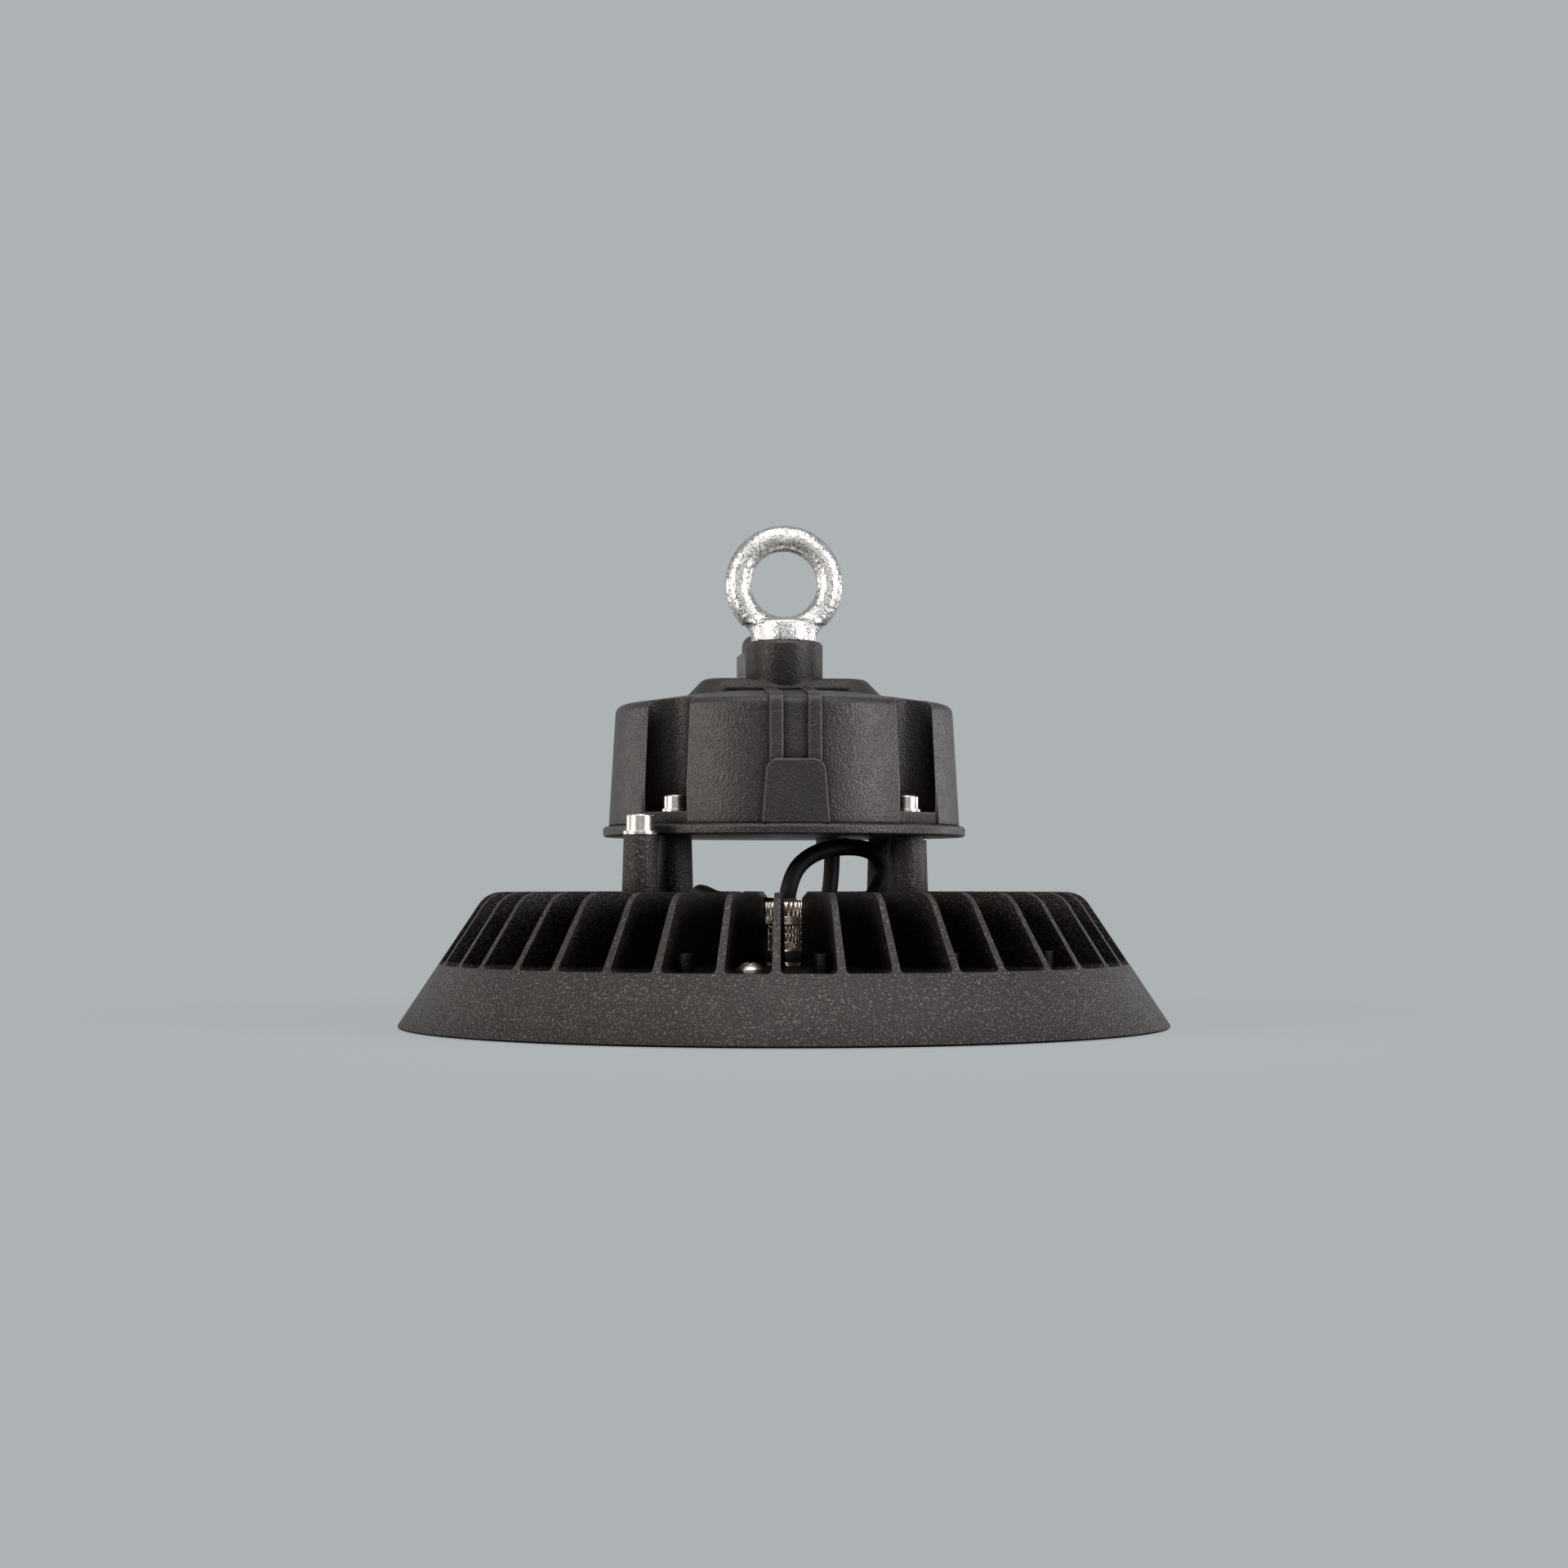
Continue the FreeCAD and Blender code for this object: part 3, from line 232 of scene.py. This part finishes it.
def eyeDistance(points):
    # soft minimum of the distance to the ring and the distance to the round-edged collar, where a
    # negative distance lies inside
    x, y, z = points[..., 0], points[..., 1], points[..., 2]
    ring = np.hypot(np.hypot(x, z - eyeBolt["centre"]) - eyeBolt["ring"], y) - eyeBolt["stock"]
    halfHeight = (eyeBolt["collarTop"] - eyeBolt["collarFoot"]) / 2
    level = (eyeBolt["collarTop"] + eyeBolt["collarFoot"]) / 2
    rounding = eyeBolt["rounding"]
    past = np.hypot(x, y) - eyeBolt["collarRadius"] + rounding
    over = np.abs(z - level) - halfHeight + rounding
    outside = np.hypot(np.maximum(past, 0), np.maximum(over, 0))
    collar = np.minimum(np.maximum(past, over), 0) + outside - rounding
    share = np.clip(0.5 + 0.5 * (collar - ring) / eyeBolt["blend"], 0, 1)
    return collar * (1 - share) + ring * share - eyeBolt["blend"] * share * (1 - share)


turnAround = np.linspace(0, 2 * np.pi, eyeBolt["columns"], endpoint=False)[:, None]
turnSection = np.linspace(0, 2 * np.pi, eyeBolt["sectionPoints"], endpoint=False)[None, :]
core = np.stack(np.broadcast_arrays(eyeBolt["ring"] * np.cos(turnAround), 0 * turnSection,
                                    eyeBolt["centre"] + eyeBolt["ring"] * np.sin(turnAround)), axis=-1)
outward = np.stack(np.broadcast_arrays(np.cos(turnAround) * np.cos(turnSection), np.sin(turnSection),
                                       np.sin(turnAround) * np.cos(turnSection)), axis=-1)
near = np.zeros(core.shape[:2])
far = np.full(core.shape[:2], eyeBolt["search"])
for halving in range(eyeBolt["halvings"]):        # the skin lies where the distance changes sign
    middle = (near + far) / 2
    inside = eyeDistance(core + outward * middle[..., None]) < 0
    near = np.where(inside, middle, near)
    far = np.where(inside, far, middle)
ringGrid = core + outward * near[..., None]
sunk = ringGrid[..., 2] < eyeBolt["collarTop"] - eyeBolt["sunkBelow"]
thinned = core + outward * (near - eyeBolt["sunkBy"])[..., None]
ringGrid = np.where(sunk[..., None], thinned, ringGrid)
eyeRing = finishMesh(skin("eyeRing", ringGrid * mm, wrapDown=True), eyeBolt["ringCrisp"])
turnCollar = np.linspace(0, 2 * np.pi, eyeBolt["collarColumns"], endpoint=False)
collarLine = np.array(eyeBolt["collarLine"])
radius, height = collarLine[:, :1], collarLine[:, 1:]
collarGrid = np.stack(np.broadcast_arrays(radius * np.cos(turnCollar), radius * np.sin(turnCollar),
                                          height + 0 * turnCollar), axis=-1)
eyeCollar = finishMesh(skin("eyeCollar", collarGrid * mm), eyeBolt["collarCrisp"])
for part in (eyeRing, eyeCollar):
    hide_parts("eye_bolt")
print("eye bolt forged")


def blankFinish(name):
    material = bpy.data.materials.new(name)
    material.use_nodes = True
    tree = material.node_tree
    shader = tree.nodes["Principled BSDF"]
    return material, tree, shader


def place(tree):
    return tree.nodes.new("ShaderNodeTexCoord").outputs["Object"]


def clouds(tree, spot, scale, detail=3.0, rough=0.55):
    noise = tree.nodes.new("ShaderNodeTexNoise")
    noise.inputs["Scale"].default_value = scale
    noise.inputs["Detail"].default_value = detail
    noise.inputs["Roughness"].default_value = rough
    tree.links.new(spot, noise.inputs["Vector"])
    return noise.outputs["Fac"]


def pebbles(tree, spot, scale):
    cells = tree.nodes.new("ShaderNodeTexVoronoi")
    cells.feature = "SMOOTH_F1"
    cells.inputs["Scale"].default_value = scale
    tree.links.new(spot, cells.inputs["Vector"])
    return cells.outputs["Distance"]


def spread(tree, value, low, high, outLow=0.0, outHigh=1.0):
    ramp = tree.nodes.new("ShaderNodeMapRange")
    ramp.inputs["From Min"].default_value = low
    ramp.inputs["From Max"].default_value = high
    ramp.inputs["To Min"].default_value = outLow
    ramp.inputs["To Max"].default_value = outHigh
    tree.links.new(value, ramp.inputs["Value"])
    return ramp.outputs["Result"]


def sums(tree, work, first, second):
    maths = tree.nodes.new("ShaderNodeMath")
    maths.operation = work
    for socket, value in zip(maths.inputs, (first, second)):
        if isinstance(value, (int, float)):
            socket.default_value = value
        else:
            tree.links.new(value, socket)
    return maths.outputs["Value"]


def blendColours(tree, share, first, second):
    mix = tree.nodes.new("ShaderNodeMix")
    mix.data_type = "RGBA"
    tree.links.new(share, mix.inputs["Factor"])
    for socket, value in ((mix.inputs[6], first), (mix.inputs[7], second)):
        if isinstance(value, tuple):
            socket.default_value = (*value, 1.0)
        else:
            tree.links.new(value, socket)
    return mix.outputs[2]


edgeLook = {
    "samples": 4,
    "flat": 1.0,                                 # likeness of the rounded and the flat normal
    # where the rounded and flat normals are this alike, an edge is fully paler, partly as wear and partly
    # as painted highlight
    "wornAndHighlightedEdge": 0.86,
}


def softEdges(tree, radius):
    # the rounding of a cast or pressed edge, and how far a point sits on such an edge
    rounded = tree.nodes.new("ShaderNodeBevel")
    rounded.samples = edgeLook["samples"]
    rounded.inputs["Radius"].default_value = radius
    flat = tree.nodes.new("ShaderNodeNewGeometry")
    likeness = tree.nodes.new("ShaderNodeVectorMath")
    likeness.operation = "DOT_PRODUCT"
    tree.links.new(rounded.outputs["Normal"], likeness.inputs[0])
    tree.links.new(flat.outputs["Normal"], likeness.inputs[1])
    onEdge = spread(tree, likeness.outputs["Value"], edgeLook["flat"], edgeLook["wornAndHighlightedEdge"])
    return rounded.outputs["Normal"], onEdge


def relief(tree, shader, height, depth, normal=None):
    bump = tree.nodes.new("ShaderNodeBump")
    bump.inputs["Strength"].default_value = 1.0
    bump.inputs["Distance"].default_value = depth
    tree.links.new(height, bump.inputs["Height"])
    if normal is not None:
        tree.links.new(normal, bump.inputs["Normal"])
    tree.links.new(bump.outputs["Normal"], shader.inputs["Normal"])


cornerLook = {
    "samples": 6,
    "fall": 2.6,
    "open": 0.9,                                 # from here on a surface counts as fully open
    # colour of the painted shade in corners and slots
    "paintedShadeColour": (0.0015, 0.0013, 0.0012),
}


def paintedCornerShade(tree, reach, floor):
    # painted shade: corners and slots that little light gets into are painted darker, towards a near-black
    # colour, and made duller
    gap = tree.nodes.new("ShaderNodeAmbientOcclusion")
    gap.samples = cornerLook["samples"]
    gap.inputs["Distance"].default_value = reach
    openness = sums(tree, "POWER", gap.outputs["AO"], cornerLook["fall"])
    return spread(tree, openness, 0.0, cornerLook["open"], floor, 1.0)


mottle = {
    "patchBand": (0.35, 0.65),
    "grainDetail": 2.0,
    "grainRoughness": 0.6,
    # how the grain breaks up the paler edges, which are partly wear and partly painted highlight
    "edgeWearAndHighlightBand": (0.3, 0.6),
    "leastEdgeWearAndHighlight": 0.35,
    "glossScale": 3.7,                           # gloss changes over smaller patches than colour
    "glossDetail": 4.0,
    "glossBand": (0.3, 0.7),
    "coatRoughness": 0.3,
}


def mottledFinish(look):
    # two colours in soft clouds, flecks over them, paler edges that are partly wear and partly painted
    # highlight, painted shade in corners, uneven gloss and a fine relief
    material, tree, shader = blankFinish(look["name"])
    spot = place(tree)
    patches = spread(tree, clouds(tree, spot, look["patch"]), *mottle["patchBand"])
    colour = blendColours(tree, patches, look["colour"], look["tint"])
    grain = clouds(tree, spot, look["grain"], mottle["grainDetail"], mottle["grainRoughness"])
    flecks = spread(tree, grain, *look["fleckBand"])
    colour = blendColours(tree, flecks, colour, look["fleck"])
    normal = None
    # paler edges: partly wear, partly painted highlight along the rounded edges
    if look.get("edge"):
        normal, onEdge = softEdges(tree, look["edge"])
        edgeWearAndHighlightBreakup = spread(tree, grain, *mottle["edgeWearAndHighlightBand"], mottle["leastEdgeWearAndHighlight"], 1.0)
        wornAndHighlightedEdge = sums(tree, "MULTIPLY", onEdge, edgeWearAndHighlightBreakup)
        colour = blendColours(tree, wornAndHighlightedEdge, colour, look["edgeColour"])
    # painted shade: where ambient occlusion finds corners, slots and gaps between fins, the colour is
    # darkened towards near-black and the specular level lowered
    if look.get("paintedCornerShade"):
        openness = paintedCornerShade(tree, look["paintedCornerShade"], look["shade"])
        colour = blendColours(tree, openness, cornerLook["paintedShadeColour"], colour)
        level = sums(tree, "MULTIPLY", openness, look["shine"])
        tree.links.new(level, shader.inputs["Specular IOR Level"])
    tree.links.new(colour, shader.inputs["Base Color"])
    sheen = clouds(tree, spot, look["patch"] * mottle["glossScale"], mottle["glossDetail"])
    gloss = spread(tree, sheen, *mottle["glossBand"], *look["rough"])
    tree.links.new(gloss, shader.inputs["Roughness"])
    cells = sums(tree, "MULTIPLY", pebbles(tree, spot, look["cells"]), look["cellShare"])
    relief(tree, shader, sums(tree, "ADD", grain, cells), look["depth"], normal)
    shader.inputs["Metallic"].default_value = look.get("metal", 0.0)
    shader.inputs["IOR"].default_value = look.get("ior", 1.5)
    shader.inputs["Coat Weight"].default_value = look.get("coat", 0.0)
    shader.inputs["Coat Roughness"].default_value = mottle["coatRoughness"]
    return material


# In each finish, the corner reach and shade give painted shade in corners and slots.
# In each finish, the edge colour is partly wear and partly painted highlight.
finishes = {
    "heat_sink_coat": {
        "name": "sandyCastCoat", "colour": (0.0082, 0.0060, 0.0053), "tint": (0.0122, 0.0092, 0.0082),
        "fleck": (0.126, 0.102, 0.092), "patch": 38.0, "grain": 1150.0, "fleckBand": (0.54, 0.72),
        "cells": 1250.0, "cellShare": 0.8, "depth": 0.00032, "rough": (0.42, 0.54),
        "edge": 0.0005, "edgeColour": (0.058, 0.049, 0.045), "ior": 1.52,
        "paintedCornerShade": 0.022, "shade": 0.04, "shine": 0.30,
    },
    "housing_coat": {
        "name": "leatheryCoat", "colour": (0.0108, 0.0080, 0.0076), "tint": (0.0156, 0.0118, 0.0114),
        "fleck": (0.050, 0.042, 0.041), "patch": 45.0, "grain": 1200.0, "fleckBand": (0.54, 0.74),
        "cells": 1250.0, "cellShare": 1.1, "depth": 0.00016, "rough": (0.36, 0.46),
        "edge": 0.0009, "edgeColour": (0.170, 0.148, 0.138), "ior": 1.52,
        "paintedCornerShade": 0.030, "shade": 0.03, "shine": 0.34,
    },
    "bright_steel": {
        "name": "brightScrewSteel", "colour": (0.48, 0.43, 0.39), "tint": (0.58, 0.53, 0.49),
        "fleck": (0.38, 0.34, 0.31), "patch": 400.0, "grain": 2600.0, "fleckBand": (0.55, 0.8),
        "cells": 1400.0, "cellShare": 0.2, "depth": 0.00002, "rough": (0.24, 0.38), "metal": 1.0,
        "edge": 0.0003, "edgeColour": (0.80, 0.77, 0.73),
    },
    "zinc_plate": {
        "name": "brightZincPlate", "colour": (0.58, 0.565, 0.535), "tint": (0.72, 0.705, 0.68),
        "fleck": (0.22, 0.205, 0.19), "patch": 160.0, "grain": 800.0, "fleckBand": (0.54, 0.68),
        "cells": 420.0, "cellShare": 0.6, "depth": 0.00034, "rough": (0.18, 0.36), "metal": 1.0,
    },
    "nickel_brass": {
        "name": "tarnishedNickel", "colour": (0.84, 0.70, 0.58), "tint": (0.92, 0.83, 0.75),
        "fleck": (0.22, 0.17, 0.12), "patch": 420.0, "grain": 2400.0, "fleckBand": (0.55, 0.8),
        "cells": 1500.0, "cellShare": 0.2, "depth": 0.000005, "rough": (0.20, 0.34), "metal": 0.92,
    },
    "black_rubber": {
        "name": "mattRubber", "colour": (0.012, 0.012, 0.012), "tint": (0.018, 0.017, 0.017),
        "fleck": (0.030, 0.029, 0.028), "patch": 180.0, "grain": 1800.0, "fleckBand": (0.6, 0.8),
        "cells": 1500.0, "cellShare": 0.3, "depth": 0.00004, "rough": (0.62, 0.78),
    },
    "black_plastic": {
        "name": "mouldedNylon", "colour": (0.014, 0.014, 0.015), "tint": (0.020, 0.020, 0.021),
        "fleck": (0.034, 0.033, 0.033), "patch": 150.0, "grain": 2200.0, "fleckBand": (0.6, 0.8),
        "cells": 1700.0, "cellShare": 0.4, "depth": 0.00004, "rough": (0.34, 0.48),
        "edge": 0.0004, "edgeColour": (0.035, 0.034, 0.033),
    },
    "cable_jacket": {
        "name": "pvcJacket", "colour": (0.0040, 0.0032, 0.0030), "tint": (0.0064, 0.0052, 0.0050),
        "fleck": (0.012, 0.010, 0.009), "patch": 120.0, "grain": 2600.0, "fleckBand": (0.6, 0.8),
        "cells": 1500.0, "cellShare": 0.2, "depth": 0.00003, "rough": (0.50, 0.62),
        "paintedCornerShade": 0.020, "shade": 0.05, "shine": 0.22,
    },
    "grey_pad": {
        "name": "thermalPad", "colour": (0.30, 0.31, 0.33), "tint": (0.36, 0.37, 0.39),
        "fleck": (0.22, 0.23, 0.25), "patch": 90.0, "grain": 1500.0, "fleckBand": (0.55, 0.8),
        "cells": 900.0, "cellShare": 0.3, "depth": 0.00004, "rough": (0.6, 0.8),
    },
    "white_board": {
        "name": "whiteSolderMask", "colour": (0.74, 0.75, 0.73), "tint": (0.80, 0.80, 0.78),
        "fleck": (0.66, 0.67, 0.65), "patch": 60.0, "grain": 1800.0, "fleckBand": (0.6, 0.85),
        "cells": 900.0, "cellShare": 0.2, "depth": 0.00001, "rough": (0.28, 0.38),
    },
    "phosphor": {
        "name": "phosphorGel", "colour": (0.78, 0.56, 0.10), "tint": (0.84, 0.64, 0.16),
        "fleck": (0.88, 0.72, 0.28), "patch": 220.0, "grain": 3000.0, "fleckBand": (0.55, 0.8),
        "cells": 1400.0, "cellShare": 0.2, "depth": 0.00001, "rough": (0.18, 0.30), "coat": 0.4,
    },
    "driver_case": {
        "name": "foldedAluminiumCase", "colour": (0.52, 0.53, 0.54), "tint": (0.60, 0.61, 0.62),
        "fleck": (0.42, 0.43, 0.44), "patch": 70.0, "grain": 1600.0, "fleckBand": (0.55, 0.8),
        "cells": 900.0, "cellShare": 0.2, "depth": 0.00002, "rough": (0.35, 0.5), "metal": 1.0,
    },
}


lensSheet = {
    "colour": (0.93, 0.97, 0.95),
    "tint": (0.98, 1.0, 0.99),
    "patch": 40.0,
    "polish": 160.0,
    "rough": (0.02, 0.07),
    "wave": 90.0,
    "depth": 0.000004,
    "clear": 0.94,
    "ior": 1.50,
}


def clearGlassFinish():
    # tempered sheet: clear, with faint uneven polish
    material, tree, shader = blankFinish("temperedGlass")
    spot = place(tree)
    patches = clouds(tree, spot, lensSheet["patch"])
    colour = blendColours(tree, patches, lensSheet["colour"], lensSheet["tint"])
    tree.links.new(colour, shader.inputs["Base Color"])
    polish = clouds(tree, spot, lensSheet["polish"])
    gloss = spread(tree, polish, *mottle["glossBand"], *lensSheet["rough"])
    tree.links.new(gloss, shader.inputs["Roughness"])
    relief(tree, shader, clouds(tree, spot, lensSheet["wave"]), lensSheet["depth"])
    shader.inputs["Transmission Weight"].default_value = lensSheet["clear"]
    shader.inputs["IOR"].default_value = lensSheet["ior"]
    return material


coats = {slotName: mottledFinish(look) for slotName, look in finishes.items()}
coats["clear_glass"] = clearGlassFinish()

nodeSlot = {row["node"]: row["material_slot"] for row in frame["record"]["subparts"]}
for nodeName, node in frame["nodes"].items():
    node.data.materials.clear()
    node.data.materials.append(coats[nodeSlot[nodeName]])
for piece, slotName in ((lead, "cable_jacket"), (plugSocket, "nickel_brass"), (plugCuff, "black_rubber"),
                        (plugCollar, "nickel_brass"), (plugNut, "nickel_brass"), (plugSeal, "black_rubber"),
                        (eyeRing, "zinc_plate"), (eyeCollar, "zinc_plate")):
    piece.data.materials.append(coats[slotName])
print("finishes laid on")


# the studio: pale floor and backdrop of one even tone, and seven soft boxes
studio = {
    "backdrop": (0.418, 0.445, 0.462),
    "ambient": 0.11,
    "floorShadow": 0.22,
    "shadowReach": (0.16, 0.34),                 # it fades out between these distances from the middle
    "floorHalf": 9,
    "floorLevel": -0.0004,
    "boxes": [
        # name, place, aimed at, size across and up, watts, colour
        ("overheadBox", (0.0, -0.34, 1.10), (0, 0, 0.05), (0.80, 0.60), 7.0, (1.0, 0.985, 0.97)),
        ("leftBox", (-1.00, -0.60, 0.32), (0, 0, 0.10), (0.42, 0.85), 11.0, (1.0, 0.93, 0.87)),
        ("rightBox", (1.00, -0.66, 0.32), (0, 0, 0.10), (0.46, 0.85), 14.5, (0.985, 0.92, 1.0)),
        ("leftRimBox", (-0.95, 0.42, 0.16), (0, 0, 0.12), (0.34, 0.28), 1.6, (1.0, 0.92, 0.87)),
        ("rightRimBox", (0.95, 0.46, 0.16), (0, 0, 0.12), (0.34, 0.28), 1.6, (1.0, 0.94, 0.91)),
        ("frontBox", (0.10, -1.00, 1.00), (0, 0, 0.10), (0.95, 0.60), 3.2, (1.0, 0.98, 0.96)),
        ("slotBox", (-0.05, -1.25, 0.34), (0, 0, 0.10), (0.14, 0.34), 0.7, (1.0, 0.96, 0.92)),
    ],
}


def seenRays(tree):
    # 1 for the rays of the camera, of reflections and of glass, 0 for those that light the object
    rays = tree.nodes.new("ShaderNodeLightPath")
    shown = sums(tree, "MAXIMUM", rays.outputs["Is Camera Ray"], rays.outputs["Is Glossy Ray"])
    return sums(tree, "MAXIMUM", shown, rays.outputs["Is Transmission Ray"])


def studioTone(name, strength):
    # camera, mirror and glass rays see one even tone, with the object's soft shadow only close
    # around it; other rays see the plain surface
    material = bpy.data.materials.new(name)
    material.use_nodes = True
    tree = material.node_tree
    tree.nodes.clear()
    glow = tree.nodes.new("ShaderNodeEmission")
    glow.inputs["Color"].default_value = (*studio["backdrop"], 1.0)
    plain = tree.nodes.new("ShaderNodeBsdfDiffuse")
    plain.inputs["Color"].default_value = (*studio["backdrop"], 1.0)
    seen = seenRays(tree)
    far = tree.nodes.new("ShaderNodeVectorMath")
    far.operation = "LENGTH"
    tree.links.new(place(tree), far.inputs[0])
    evenness = spread(tree, far.outputs["Value"], *studio["shadowReach"], 1.0 - strength, 1.0)
    share = sums(tree, "MULTIPLY", seen, evenness)
    mix = tree.nodes.new("ShaderNodeMixShader")
    tree.links.new(share, mix.inputs["Fac"])
    tree.links.new(plain.outputs["BSDF"], mix.inputs[1])
    tree.links.new(glow.outputs["Emission"], mix.inputs[2])
    out = tree.nodes.new("ShaderNodeOutputMaterial")
    tree.links.new(mix.outputs["Shader"], out.inputs["Surface"])
    return material


half, level = studio["floorHalf"], studio["floorLevel"]
floorMesh = bpy.data.meshes.new("studioFloor")
corners = [(-half, -half, level), (half, -half, level), (half, half, level), (-half, half, level)]
floorMesh.from_pydata(corners, [], [(0, 1, 2, 3)])
floorMesh.materials.append(studioTone("floorTone", studio["floorShadow"]))
floor = bpy.data.objects.new("studioFloor", floorMesh)
scene.collection.objects.link(floor)

world = bpy.data.worlds.new("studioAir")
world.use_nodes = True
scene.world = world
air = world.node_tree
air.nodes.clear()
seen = seenRays(air)
backdrop = air.nodes.new("ShaderNodeBackground")
backdrop.inputs["Color"].default_value = (*studio["backdrop"], 1.0)
ambient = air.nodes.new("ShaderNodeBackground")
ambient.inputs["Color"].default_value = (*studio["backdrop"], 1.0)
ambient.inputs["Strength"].default_value = studio["ambient"]
either = air.nodes.new("ShaderNodeMixShader")
air.links.new(seen, either.inputs["Fac"])
air.links.new(ambient.outputs["Background"], either.inputs[1])
air.links.new(backdrop.outputs["Background"], either.inputs[2])
worldOut = air.nodes.new("ShaderNodeOutputWorld")
air.links.new(either.outputs["Shader"], worldOut.inputs["Surface"])

for boxName, stands, aimedAt, (across, up), watts, tone in studio["boxes"]:
    lampData = bpy.data.lights.new(boxName, "AREA")
    lampData.shape = "RECTANGLE"
    lampData.size = across
    lampData.size_y = up
    lampData.energy = watts
    lampData.color = tone
    lamp = bpy.data.objects.new(boxName, lampData)
    scene.collection.objects.link(lamp)
    lamp.location = stands
    lamp.rotation_euler = (Vector(aimedAt) - Vector(stands)).to_track_quat("-Z", "Y").to_euler()

scene.view_settings.view_transform = "Standard"
print("studio lit")
